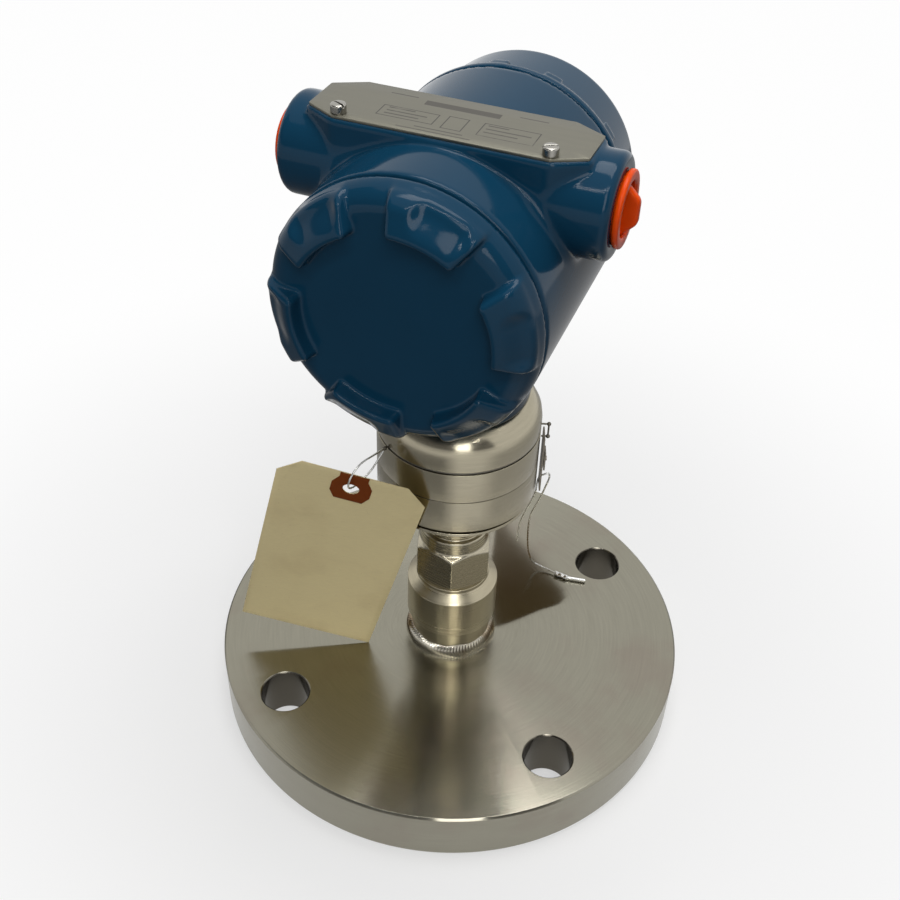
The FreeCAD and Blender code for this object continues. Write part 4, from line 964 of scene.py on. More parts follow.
BLUE_PAINT = GlossPaint("blue_paint", "blue_paint", (0.0053, 0.045, 0.092), 0.085)
# the flange's finish paints shade on its bolt-hole walls
FLANGE_STEEL = HoleShadedSteel(
    "flange_steel", "stainless", (0.285, 0.272, 0.218), 0.125, stain=(0.24, 0.19, 0.16), anisotropy=0.93)
STEM_STEEL = TurnedSteel(
    "stem_steel", "stainless", (0.44, 0.395, 0.285), 0.24, anisotropy=0.4, stain_share=0.2)
HEX_STEEL = MilledSteel(
    "hex_steel", "stainless", (0.46, 0.42, 0.32), 0.2, anisotropy=0.1, stain_share=0.3, stroke=0.02)
MODULE_STEEL = TurnedSteel(
    "module_steel", "stainless_fine", (0.395, 0.36, 0.27), 0.17, anisotropy=0.7, stain_share=0.15)
WELD_STEEL = WeldSteel("weld_steel", "weld", (0.5, 0.47, 0.4), 0.12)
PLATE_ETCHED = EtchedPlate("plate_etched", "nameplate", (0.17, 0.164, 0.132), 0.34)
SCREW_STEEL = DrawnWire("screw_steel", "stainless_fine", (0.34, 0.33, 0.3), 0.16)
ORANGE = MouldedPlastic("orange_plastic", "orange_plastic", (0.84, 0.075, 0.001), 0.28, glow=0.15)
BLACK_PLASTIC = MouldedPlastic("black_plastic", "black_plastic", (0.022, 0.022, 0.024), 0.42)
RUBBER = MouldedPlastic("seal_rubber", "seal_rubber", (0.012, 0.012, 0.012), 0.6, grain=0.2)
MANILA = TagCard("manila_card", "manila", (0.96, 0.81, 0.46), 0.75)
PATCH_CARD = TagCard("patch_card", "patch", (0.22, 0.05, 0.009), 0.75, fibre=(0.12, 0.026, 0.005))
WIRE_STEEL = DrawnWire("wire_steel", "wire", (0.6, 0.6, 0.58), 0.2)
TAG_STEEL = DrawnWire("tag_steel", "wire", (0.2, 0.18, 0.15), 0.3)
# painted shade: the loop wire is darkened for the shade of the module's groove it lies in
SHADED_LOOP_WIRE = DrawnWire("shaded_loop_wire", "wire", (0.13, 0.12, 0.1), 0.35)
BRASS = DrawnWire("brass", "brass", (0.68, 0.48, 0.2), 0.22)
CERAMIC = MouldedPlastic("ceramic", "ceramic", (0.8, 0.79, 0.74), 0.4)
BOARD = CircuitBoard("board_green", "board_green", (0.02, 0.13, 0.06), 0.35)
LCD = MouldedPlastic("lcd_panel", "lcd", (0.36, 0.41, 0.32), 0.18, grain=0.01)
GLASS = WindowGlass("window_glass", "window", (0.96, 0.98, 0.98), 0.02)


# Pieces

def add_piece(name: str, data: bpy.types.ID, finish: Finish, body: Body,
              stands_for: Iterable[str] = ()) -> bpy.types.Object:
    """Put a finished mesh or curve on its body.

    Args:
        name: the piece's name.
        data: its mesh or curve, in metres in the CAD frame.
        finish: its finish.
        body: the body that it moves with.
        stands_for: CAD nodes that it is shown in place of.

    Returns:
        The new piece.
    """
    piece = bpy.data.objects.new(name, data)
    bpy.context.scene.collection.objects.link(piece)
    data.materials.append(material_of(finish))
    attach(piece, body.value)
    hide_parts(*stands_for)
    LOG.info("%s on %s stands for %s", name, body.value, ", ".join(stands_for) or "no node")
    return piece


def dress(finish: Finish, *nodes: str) -> None:
    """Give CAD nodes that stay in view their finish."""
    for node in nodes:
        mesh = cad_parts[node].data
        mesh.materials.clear()
        mesh.materials.append(material_of(finish))
        LOG.info("%s keeps its shape and is %s", node, finish.name)


def thicken(piece: bpy.types.Object, thickness: float, edge: float) -> None:
    """Give a thin sheet its thickness and softened edges."""
    solid = piece.modifiers.new("thickness", "SOLIDIFY")
    solid.thickness = thickness * MM
    solid.offset = 1.0
    soft = piece.modifiers.new("edges", "BEVEL")
    soft.width = edge * MM
    soft.segments = EDGE_CHORDS
    soft.limit_method = "ANGLE"
    soft.angle_limit = math.radians(EDGE_ANGLE)


def in_place(points: np.ndarray) -> np.ndarray:
    """Leave points that are already in the CAD frame where they are."""
    return points


@dataclass
class Flange:
    """Raised-face flange: a turned disc with four bolt holes."""

    radius: float = 95.25
    top: float = FLANGE_TOP
    face_height: float = 1.6
    face_radius: float = 63.5
    seat_radius: float = 44.5
    seat_depth: float = 1.0
    bore: float = FILL_BORE
    edge: float = 0.8
    edge_round: float = 0.2
    bolts: int = 4
    bolt_circle: float = BOLT_CIRCLE
    bolt_radius: float = 9.525
    bolt_angle: float = BOLT_ANGLE
    hole_edge: float = 0.5
    drill_overshoot: float = 4.0
    crisp_angle: float = 35.0

    def build(self) -> None:
        """Turn the disc and drill it."""
        disc = bpy.data.objects.new("flange_disc_blank", lathe("flange_disc_blank", [
            (self.bore, self.seat_depth),
            (self.seat_radius, self.seat_depth),
            (self.seat_radius, 0),
            (self.face_radius, 0),
            (self.face_radius, self.face_height),
            (self.radius - self.edge, self.face_height),
            (self.radius, self.face_height + self.edge),
            (self.radius, self.top - self.edge, self.edge_round),
            (self.radius - self.edge, self.top, self.edge_round),
            (self.bore, self.top),
        ], segments=360))
        bpy.context.scene.collection.objects.link(disc)
        drills = []
        reach = self.bolt_circle * MM
        for number in range(self.bolts):
            angle = math.radians(self.bolt_angle + 360 / self.bolts * number)
            drill = bpy.data.objects.new("drill", self._drill())
            drill.location = (reach * math.cos(angle), reach * math.sin(angle), 0)
            bpy.context.scene.collection.objects.link(drill)
            hole = disc.modifiers.new("bolt_hole", "BOOLEAN")
            hole.object = drill
            hole.solver = "EXACT"
            drills.append(drill)
        bpy.context.view_layer.update()
        drilled = disc.evaluated_get(bpy.context.evaluated_depsgraph_get())
        mesh = bpy.data.meshes.new_from_object(drilled)
        mesh.name = "flange_disc"
        for spent in (disc, *drills):
            bpy.data.objects.remove(spent)
        mesh.shade_smooth()
        mesh.set_sharp_from_angle(angle=math.radians(self.crisp_angle))
        add_piece("flange_disc", mesh, FLANGE_STEEL, Body.PROCESS, ["flange"])
        dress(MODULE_STEEL, "diaphragm", "fill_tube")

    def _drill(self) -> bpy.types.Mesh:
        """Cutter of a bolt hole with a small chamfer at both faces."""
        wide, past = self.bolt_radius + self.hole_edge, self.drill_overshoot
        return lathe("bolt_drill", [
            (0, self.face_height - past),
            (wide + past, self.face_height - past),
            (wide, self.face_height),
            (self.bolt_radius, self.face_height + self.hole_edge),
            (self.bolt_radius, self.top - self.hole_edge),
            (wide, self.top),
            (wide + past, self.top + past),
            (0, self.top + past),
        ], segments=96)


@dataclass
class WeldedStem:
    """Collar welded to the flange, its rippled bead, and the hexagon adapter above."""

    flange_top: float = FLANGE_TOP
    bore: float = FILL_BORE
    root_radius: float = 16.4
    root_top: float = 36.8
    collar_radius: float = 18.3
    cone_foot: float = 54.8
    cone_radius: float = 14.7
    cone_top: float = 58.0
    collar_top: float = 59.6
    collar_edge: float = 0.5
    cone_edge: float = 0.4
    lip_edge: float = 0.3
    bead_width: float = 2.4
    bead_height: float = 4.8
    bead_crown: float = 0.5
    bead_lean: float = 0.7
    bead_sink: float = 0.2
    bead_steps: int = 1160
    bead_sides: int = 14
    bead_crisp: float = 60.0
    ripples: int = 86
    ripple_height: float = 0.9
    ripple_lag: float = 2.2
    ripple_fall: float = 0.7
    ripple_waves: tuple[Wave, ...] = ((0.5, 3, 0.0), (0.4, 7, 1.1))
    swell_waves: tuple[Wave, ...] = ((0.06, 5, 0.4), (0.05, 11, 0.0))
    hex_flats: float = 28.2
    hex_top: float = 78.0
    hex_angle: float = -71.5
    hex_edge: float = 0.15
    bevel_inset: float = 0.4
    bevel_drop: float = 1.6
    bevel_edge: float = 0.2
    foot_rise: float = 2.6
    stem_radius: float = 13.55
    stem_top: float = STEM_TOP
    stem_fillet: float = 0.5
    groove_foot: float = 84.5
    groove_width: float = 2.7
    groove_depth: float = 1.8
    groove_fillet: float = 0.2
    groove_edge: float = 0.25
    margin: float = 1.0
    mesh_step: float = 0.4

    def build(self) -> None:
        """Build the collar, the bead and the adapter."""
        collar = lathe("collar", [
            (self.bore, self.flange_top),
            (self.root_radius, self.flange_top),
            (self.root_radius, self.root_top),
            (self.collar_radius, self.root_top, self.collar_edge),
            (self.collar_radius, self.cone_foot, self.cone_edge),
            (self.cone_radius, self.cone_top, self.lip_edge),
            (self.cone_radius, self.collar_top, self.lip_edge),
            (self.bore, self.collar_top),
        ])
        add_piece("collar", collar, STEM_STEEL, Body.PROCESS, ["weld_collar"])
        add_piece("collar_bead", self._bead(), WELD_STEEL, Body.PROCESS, ["weld_bead"])
        reach = self.hex_flats / math.sqrt(3) + self.margin
        low = (-reach, -reach, self.collar_top - self.margin)
        high = (reach, reach, self.stem_top + self.margin)
        adapter = FieldNet(self._adapter, low, high, self.mesh_step).build("adapter", in_place)
        add_piece("adapter", adapter, HEX_STEEL, Body.PROCESS, ["hex_adapter"])

    def _bead(self) -> bpy.types.Mesh:
        """Fillet weld with the overlapping ripples that a torch leaves."""
        steps, sides = self.bead_steps, self.bead_sides
        build = bmesh.new()
        rings = []
        for step in range(steps):
            angle = 2 * math.pi * step / steps
            rings.append([build.verts.new(self._bead_spot(angle, side / sides)) for side in range(sides + 1)])
        for here, there in zip(rings, rings[1:] + rings[:1]):
            for low in range(sides):
                build.faces.new((here[low], there[low], there[low + 1], here[low + 1]))
            build.faces.new((here[sides], there[sides], there[0], here[0]))
        bmesh.ops.recalc_face_normals(build, faces=build.faces)
        return finished("collar_bead", build, self.bead_crisp)

    def _bead_spot(self, angle: float, share: float) -> Point:
        """Place of a point of the bead.

        Args:
            angle: turn round the stem in radians.
            share: way up the bead's face, from 0 at the flange to 1 at the collar.

        Returns:
            The point in metres.
        """
        hump = math.sin(math.pi * share)
        turns = self.ripples * angle + wavering(angle, self.ripple_waves) + self.ripple_lag * hump
        phase = turns / (2 * math.pi) % 1
        ripple = self.ripple_height * hump * (1 - phase) ** self.ripple_fall
        swell = 1 + wavering(angle, self.swell_waves)
        bulge = (hump * self.bead_crown + ripple) * self.bead_lean
        out = self.bead_width * swell * (1 - share) + bulge - self.bead_sink
        rise = self.bead_height * swell * share + bulge - self.bead_sink
        radius = self.root_radius + max(out, -self.bead_sink)
        height = self.flange_top + max(rise, -self.bead_sink / 2)
        return radius * math.cos(angle) * MM, radius * math.sin(angle) * MM, height * MM

    def _adapter(self, x: np.ndarray, y: np.ndarray, z: np.ndarray) -> np.ndarray:
        """Hexagon with a turned bevel at both ends and a grooved round stem."""
        radius = np.hypot(x, y)
        sector = math.radians(60)
        turned = folded(np.arctan2(y, x) - math.radians(self.hex_angle) - sector / 2, sector)
        flats = radius * np.cos(turned) - self.hex_flats / 2
        corner = self.hex_flats / math.sqrt(3)
        run = corner - self.hex_flats / 2 + self.bevel_inset
        inset = radius - (self.hex_flats / 2 - self.bevel_inset)
        hexagon = common(flats, slab(z, self.collar_top, self.hex_top), self.hex_edge)
        for fall, beyond in ((self.bevel_drop, z - self.hex_top), (self.foot_rise, self.collar_top - z)):
            bevel = (inset * fall + beyond * run) / math.hypot(run, fall)
            hexagon = common(hexagon, bevel, self.bevel_edge)
        stem = np.maximum(radius - self.stem_radius, slab(z, self.collar_top, self.stem_top))
        floor = self.stem_radius - self.groove_depth - radius
        sides = slab(z, self.groove_foot, self.groove_foot + self.groove_width)
        groove = common(floor, sides, self.groove_fillet)
        return joined(hexagon, cut(stem, groove, self.groove_edge), self.stem_fillet)


@dataclass
class SensorModule:
    """Turned base and domed can of the sensor module."""

    bore: float = FILL_BORE
    radius: float = 30.2
    base_foot: float = STEM_TOP
    ring_top: float = 105.1
    ring_radius: float = 29.0
    ring_edge: float = 0.4
    skirt_foot: float = 107.3
    skirt_edge: float = 0.3
    skirt_groove: float = 24.5
    base_top: float = 121.6
    can_top: float = 150.0
    seam: float = 0.16
    seam_depth: float = 0.7
    seam_edge: float = 0.05
    shoulder: float = 10.0
    groove_rise: float = 13.0
    groove_width: float = 1.2
    groove_depth: float = 0.9
    groove_edge: float = 0.12
    groove_fillet: float = 0.2
    wall: float = 3.2
    swivel_radius: float = 17.0
    swivel_top: float = 166.2
    swivel_edge: float = 0.6
    swivel_fillet: float = 1.0
    seal_foot: float = 155.0
    seal_width: float = 2.2
    seal_depth: float = 1.6
    swivel_wall: float = 3.0
    cell_radius: float = 14.0
    cell_seat: float = 2.0

    def build(self) -> None:
        """Turn the base and the can, and dress what they hold."""
        base = lathe("module_base", [
            (self.bore, self.base_foot),
            (self.ring_radius, self.base_foot, self.ring_edge),
            (self.ring_radius, self.ring_top, self.skirt_edge),
            (self.skirt_groove, self.ring_top),
            (self.skirt_groove, self.skirt_foot),
            (self.radius, self.skirt_foot, self.skirt_edge),
            (self.radius, self.base_top - self.seam, self.seam_edge),
            (self.radius - self.seam_depth, self.base_top - self.seam),
            (self.radius - self.seam_depth, self.base_top),
            (self.cell_radius, self.base_top),
            (self.cell_radius, self.base_top - self.cell_seat),
            (self.bore, self.base_top - self.cell_seat),
        ], segments=256)
        add_piece("module_base", base, MODULE_STEEL, Body.PROCESS, ["sensor_base"])
        groove = self.base_top + self.groove_rise
        can = lathe("module_can", [
            (self.radius - self.seam_depth, self.base_top),
            (self.radius - self.seam_depth, self.base_top + self.seam),
            (self.radius, self.base_top + self.seam, self.seam_edge),
            (self.radius, groove, self.groove_edge),
            (self.radius - self.groove_depth, groove, self.groove_fillet),
            (self.radius - self.groove_depth, groove + self.groove_width, self.groove_fillet),
            (self.radius, groove + self.groove_width, self.groove_edge),
            (self.radius, self.can_top, self.shoulder),
            (self.swivel_radius, self.can_top, self.swivel_fillet),
            (self.swivel_radius, self.seal_foot),
            (self.swivel_radius - self.seal_depth, self.seal_foot),
            (self.swivel_radius - self.seal_depth, self.seal_foot + self.seal_width),
            (self.swivel_radius, self.seal_foot + self.seal_width),
            (self.swivel_radius, self.swivel_top, self.swivel_edge),
            (self.swivel_radius - self.swivel_wall, self.swivel_top),
            (self.swivel_radius - self.swivel_wall, self.can_top - self.wall),
            (self.radius - self.shoulder, self.can_top - self.wall),
            (self.radius - self.wall, self.can_top - self.shoulder),
            (self.radius - self.wall, self.base_top),
        ], segments=256)
        add_piece("module_can", can, MODULE_STEEL, Body.PROCESS, ["sensor_can"])
        dress(RUBBER, "swivel_seal")
        dress(CERAMIC, "pressure_cell")
        dress(BRASS, "board_posts")
        dress(BOARD, "sensor_board")
        dress(BLACK_PLASTIC, "signal_header")


@dataclass
class Housing:
    """Cast housing: a barrel with two chambers, conduit bosses, a saddle and a swivel neck."""

    height: float = AXIS_HEIGHT
    barrel_radius: float = BARREL_RADIUS
    front: float = BARREL_FRONT
    rear: float = BARREL_REAR
    rim_edge: float = 0.6
    boss_radius: float = 16.2
    boss_reach: float = BOSS_REACH
    boss_forward: float = BOSS_FORWARD
    boss_rise: float = BOSS_RISE
    boss_edge: float = 2.4
    boss_fillet: float = 3.0
    conduit_radius: float = 10.5
    conduit_depth: float = 31.6
    saddle_top: float = SADDLE_TOP
    saddle_depth: float = 17.0
    saddle_middle: float = SADDLE_MIDDLE
    saddle_half_length: float = 44.1
    saddle_half_width: float = 13.9
    saddle_side_half: float = 33.6
    saddle_end_half: float = 8.1
    saddle_end_edge: float = 0.5
    saddle_corner_edge: float = 0.6
    saddle_top_edge: float = 0.7
    saddle_fillet: float = 0.9
    neck_radius: float = 25.0
    neck_flare: float = 28.5
    neck_foot: float = -62.2
    neck_top: float = -30.2
    neck_edge: float = 0.8
    neck_fillet: float = 3.0
    socket_radius: float = 17.06
    socket_top: float = -46.0
    bulkhead: float = 2.5
    seal_radius: float = 38.8
    seal_depth: float = 3.0
    thread_radius: float = 36.6
    thread_depth: float = 14.0
    chamber_radius: float = 35.0
    way_radius: float = 6.0
    way_back: float = 11.0
    way_top: float = -29.0
    screw_radius: float = 3.0
    screw_height: float = -55.2
    opening_edge: float = 0.5
    hole_edge: float = 0.4
    overshoot: float = 2.0
    margin: float = 1.5
    mesh_step: float = 0.9

    def build(self) -> None:
        """Cast the housing and dress what it holds."""
        low = (-self.boss_reach - self.margin, self.front - self.margin, self.neck_foot - self.margin)
        high = (self.boss_reach + self.margin, self.rear + self.margin, self.saddle_top + self.margin)
        net = FieldNet(self._casting, low, high, self.mesh_step)
        mesh = net.build("casting", lambda points: points + np.array((0, 0, self.height)))
        add_piece("casting", mesh, BLUE_PAINT, Body.HOUSING, ["housing"])
        dress(SCREW_STEEL, "set_screw", "terminal_screws", "ground_screw", "display_screws")
        dress(BLACK_PLASTIC, "terminal_block", "electronics_module", "display_module")
        dress(BRASS, "board_standoffs")
        dress(BOARD, "main_board")
        dress(LCD, "lcd_panel")
        dress(RUBBER, "front_seal", "rear_seal")

    def _casting(self, x: np.ndarray, y: np.ndarray, z: np.ndarray) -> np.ndarray:
        """The whole casting about the barrel's axis."""
        round_y = np.hypot(x, z)
        barrel = common(round_y - self.barrel_radius, slab(y, self.front, self.rear), self.rim_edge)
        entry = np.hypot(y + self.boss_forward, z - self.boss_rise)
        bosses = common(entry - self.boss_radius, abs(x) - self.boss_reach, self.boss_edge)
        outer = joined(barrel, bosses, self.boss_fillet)
        outer = joined(outer, self._neck(x, y, z), self.neck_fillet)
        outer = joined(outer, self._saddle(x, y, z), self.saddle_fillet)
        for rim, inward in ((self.front, 1), (self.rear, -1)):
            depth = (y - rim) * inward
            wall = (-self.bulkhead * inward - rim) * inward
            chamber = np.full_like(depth, np.inf)
            for radius, floor in (
                (self.seal_radius, self.seal_depth), (self.thread_radius, self.thread_depth),
                (self.chamber_radius, wall),
            ):
                step = np.maximum(round_y - radius, slab(depth, -self.overshoot, floor))
                chamber = np.minimum(chamber, step)
            outer = cut(outer, chamber, self.opening_edge)
        conduit = np.maximum(entry - self.conduit_radius, self.boss_reach - self.conduit_depth - abs(x))
        outer = cut(outer, conduit, self.opening_edge)
        socket = np.maximum(np.hypot(x, y) - self.socket_radius, z - self.socket_top)
        way = np.maximum(np.hypot(x, y - self.way_back) - self.way_radius, z - self.way_top)
        screw = np.maximum(np.hypot(x, z - self.screw_height) - self.screw_radius, -y)
        return cut(outer, np.minimum(np.minimum(socket, way), screw), self.hole_edge)

    def _neck(self, x: np.ndarray, y: np.ndarray, z: np.ndarray) -> np.ndarray:
        """Conical neck that turns on the module."""
        share = (z - self.neck_foot) / (self.neck_top - self.neck_foot)
        side = np.hypot(x, y) - (self.neck_radius + (self.neck_flare - self.neck_radius) * share)
        return common(side, slab(z, self.neck_foot, self.neck_top), self.neck_edge)

    def _saddle(self, x: np.ndarray, y: np.ndarray, z: np.ndarray) -> np.ndarray:
        """Eight-sided pad for the nameplate."""
        side, across = abs(x), abs(y - self.saddle_middle)
        run = self.saddle_half_length - self.saddle_side_half
        fall = self.saddle_half_width - self.saddle_end_half
        corner = (side - self.saddle_side_half) * fall + (across - self.saddle_half_width) * run
        corner = corner / math.hypot(run, fall)
        ends = side - self.saddle_half_length
        walls = common(ends, across - self.saddle_half_width, self.saddle_end_edge)
        walls = common(walls, corner, self.saddle_corner_edge)
        layer = slab(z, self.saddle_top - self.saddle_depth, self.saddle_top)
        return common(walls, layer, self.saddle_top_edge)


@dataclass
class Lugs:
    """Six scooped grip lugs round a screw cover."""

    inner: float
    outer: float
    root: float
    foot: float
    height: float
    fall: float
    rounding: float
    span: float
    scoop_span: float
    scoop_radius: float
    scoop_run: float
    scoop_depth: float
    scoop_edge: float
    edge: float = 1.0
    scoop_shift: float = 0.0
    scoop_end: float = 1.2
    draft: float = 0.12
    sink: float = 1.0
    count: int = 6

    def distance(self, radius: np.ndarray, angle: np.ndarray, z: np.ndarray) -> np.ndarray:
        """Field of all six lugs.

        Args:
            radius: distance from the cover's axis.
            angle: angle round the axis from the middle of the first lug, in radians.
            z: height over the housing's rim.

        Returns:
            Distances in millimetres.
        """
        offset = folded(angle, 2 * math.pi / self.count)
        slope = self.fall / (self.outer - self.inner)
        lean = math.hypot(1, slope)
        level = self.foot + self.height - slope * (radius - self.inner)
        rise = z - self.foot
        top = (z - level) / lean
        lug = common(top, radius - self.outer, self.rounding)
        lug = common(lug, self.inner + self.draft * rise - radius, self.edge)
        side = self._past(radius, abs(offset), self.span) + self.draft * rise
        lug = common(lug, side, self.edge)
        under = self.foot - self.sink + (self.root - self.foot + self.sink) * (
            (radius - self.inner) / (self.outer - self.inner))
        lug = np.maximum(lug, (under - z) / lean)
        aside = abs(offset - math.radians(self.scoop_shift))
        return cut(lug, self._scoop(radius, aside, z, level, lean), self.edge)

    @staticmethod
    def _past(radius: np.ndarray, turned: np.ndarray, span: float) -> np.ndarray:
        """Distance past the end of a span of some degrees, which stops growing a radian beyond."""
        return radius * np.sin(np.minimum(turned - math.radians(span / 2), 1))

    def _scoop(self, radius: np.ndarray, turned: np.ndarray, z: np.ndarray, level: np.ndarray,
               lean: float) -> np.ndarray:
        """Field of the ledge cut into a lug's outer part."""
        floor = (level - self.scoop_depth - z) / lean
        drop = level - z
        wall = self.scoop_radius + self.scoop_run * drop / self.scoop_depth - radius
        wall = wall * self.scoop_depth / math.hypot(self.scoop_run, self.scoop_depth)
        end = self._past(radius, turned, self.scoop_span) + self.draft * drop
        return common(common(floor, wall, self.scoop_edge), end, self.scoop_edge * self.scoop_end)


@dataclass
class ScrewCover:
    """What both screw covers share: a threaded spigot, a rim and lugs.

    The cover's own frame has its Z pointing outward from the housing's rim.
    """

    lugs: Lugs
    rim_radius: float = BARREL_RADIUS
    seam: float = 0.8
    spigot_radius: float = 36.3
    spigot_bore: float = 33.4
    spigot_length: float = 11.0
    spigot_overlap: float = 1.0
    thread_height: float = 0.22
    thread_pitch: float = 2.0
    bore_edge: float = 0.4
    axis_height: float = AXIS_HEIGHT
    lug_angle: float = 0.0
    reach: float = 0.0
    outward: int = 1
    top: float = 0.0
    side_margin: float = 1.5
    end_margin: float = 1.2
    mesh_step: float = 1.0

    def cast(self, name: str, body: Body, node: str) -> None:
        """Mesh the cover and put it on its body in place of its node."""
        wide = self.rim_radius + self.side_margin
        low = (-wide, -wide, -self.spigot_length - self.end_margin)
        net = FieldNet(self.cover, low, (wide, wide, self.top + self.end_margin), self.mesh_step)
        add_piece(name, net.build(name, self.placed), BLUE_PAINT, body, [node])

    def cover(self, x: np.ndarray, y: np.ndarray, z: np.ndarray) -> np.ndarray:
        """The cover about its own axis."""
        raise NotImplementedError

    def placed(self, points: np.ndarray) -> np.ndarray:
        """Move points from the cover's frame to the CAD frame."""
        x, y, z = points.T
        return np.stack((x, self.outward * (self.reach + z), self.axis_height - self.outward * y), axis=1)

    def polar(self, x: np.ndarray, y: np.ndarray) -> tuple[np.ndarray, np.ndarray]:
        """Radius and angle from the first lug's middle."""
        return np.hypot(x, y), np.arctan2(y, x) - math.radians(self.lug_angle)

    def spigot(self, radius: np.ndarray, z: np.ndarray) -> np.ndarray:
        """Threaded spigot up into the rim, with the crests of its thread."""
        crest = self.thread_height * np.cos(2 * math.pi * z / self.thread_pitch)
        side = radius - self.spigot_radius + self.thread_height - crest
        ring = np.maximum(side, self.spigot_bore - radius)
        return np.maximum(ring, slab(z, -self.spigot_length, self.seam + self.spigot_overlap))


@dataclass
class FrontCover(ScrewCover):
    """Blind cover with a plain face that is rounded down to its rim."""

    lugs: Lugs = field(default_factory=lambda: Lugs(
        inner=30.6, outer=42.5, root=1.5, foot=9.5, height=6.5, fall=5.2, rounding=4.0, span=40.0,
        scoop_span=27.0, scoop_radius=35.3, scoop_run=1.6, scoop_depth=2.4, scoop_edge=3.2, edge=1.5,
        scoop_shift=-4.5))
    seam: float = 1.8
    seam_edge: float = 0.3
    lug_angle: float = 13.3
    lug_fillet: float = 0.9
    reach: float = -BARREL_FRONT
    outward: int = -1
    face: float = 9.5
    face_edge: float = 8.0
    ceiling: float = 5.0
    top: float = 16.0
    mesh_step: float = 0.53

    def build(self) -> None:
        """Cast the cover."""
        self.cast("blind_cover", Body.FRONT_COVER, "front_cover")

    def cover(self, x: np.ndarray, y: np.ndarray, z: np.ndarray) -> np.ndarray:
        """The cover about its own axis."""
        radius, angle = self.polar(x, y)
        cup = common(radius - self.rim_radius, z - self.face, self.face_edge)
        cup = common(cup, self.seam - z, self.seam_edge)
        cup = joined(cup, self.lugs.distance(radius, angle, z), self.lug_fillet)
        cup = np.minimum(cup, self.spigot(radius, z))
        return cut(cup, np.maximum(radius - self.spigot_bore, z - self.ceiling), self.bore_edge)


@dataclass
class RearCover(ScrewCover):
    """Hooded cover with a round window in its end."""

    lugs: Lugs = field(default_factory=lambda: Lugs(
        inner=37.4, outer=42.8, root=2.8, foot=3.8, height=5.4, fall=1.2, rounding=1.4, span=44.0,
        scoop_span=26.0, scoop_radius=40.0, scoop_run=0.6, scoop_depth=3.0, scoop_edge=0.6, edge=0.5))
    seam_edge: float = 0.4
    lug_angle: float = -54.4
    lug_fillet: float = 0.6
    reach: float = BARREL_REAR
    outward: int = 1
    rim: float = 3.8
    rim_edge: float = 0.9
    hood_root: float = 40.8
    hood_tip: float = 38.8
    hood_edge: float = 2.4
    hood_fillet: float = 1.2
    end_wall: float = 3.4
    window_radius: float = 28.0
    window_edge: float = 1.2
    top: float = 29.6
    mesh_step: float = 0.62

    def build(self) -> None:
        """Cast the cover and dress its window."""
        self.cast("hooded_cover", Body.REAR_COVER, "rear_cover")
        dress(GLASS, "window_glass")
        dress(RUBBER, "window_gasket")
        dress(SCREW_STEEL, "window_ring")

    def cover(self, x: np.ndarray, y: np.ndarray, z: np.ndarray) -> np.ndarray:
        """The cover about its own axis."""
        radius, angle = self.polar(x, y)
        fall = (self.hood_root - self.hood_tip) / (self.top - self.hood_edge - self.rim)
        side = radius - self.hood_root + fall * (z - self.rim)
        hood = common(side, z - self.top, self.hood_edge)
        ring = common(radius - self.rim_radius, z - self.rim, self.rim_edge)
        shell = joined(ring, hood, self.hood_fillet)
        shell = joined(shell, self.lugs.distance(radius, angle, z), self.lug_fillet)
        shell = common(shell, self.seam - z, self.seam_edge)
        shell = np.minimum(shell, self.spigot(radius, z))
        bore = np.maximum(radius - self.spigot_bore, z - self.top + self.end_wall)
        return cut(cut(shell, bore, self.bore_edge), radius - self.window_radius, self.window_edge)


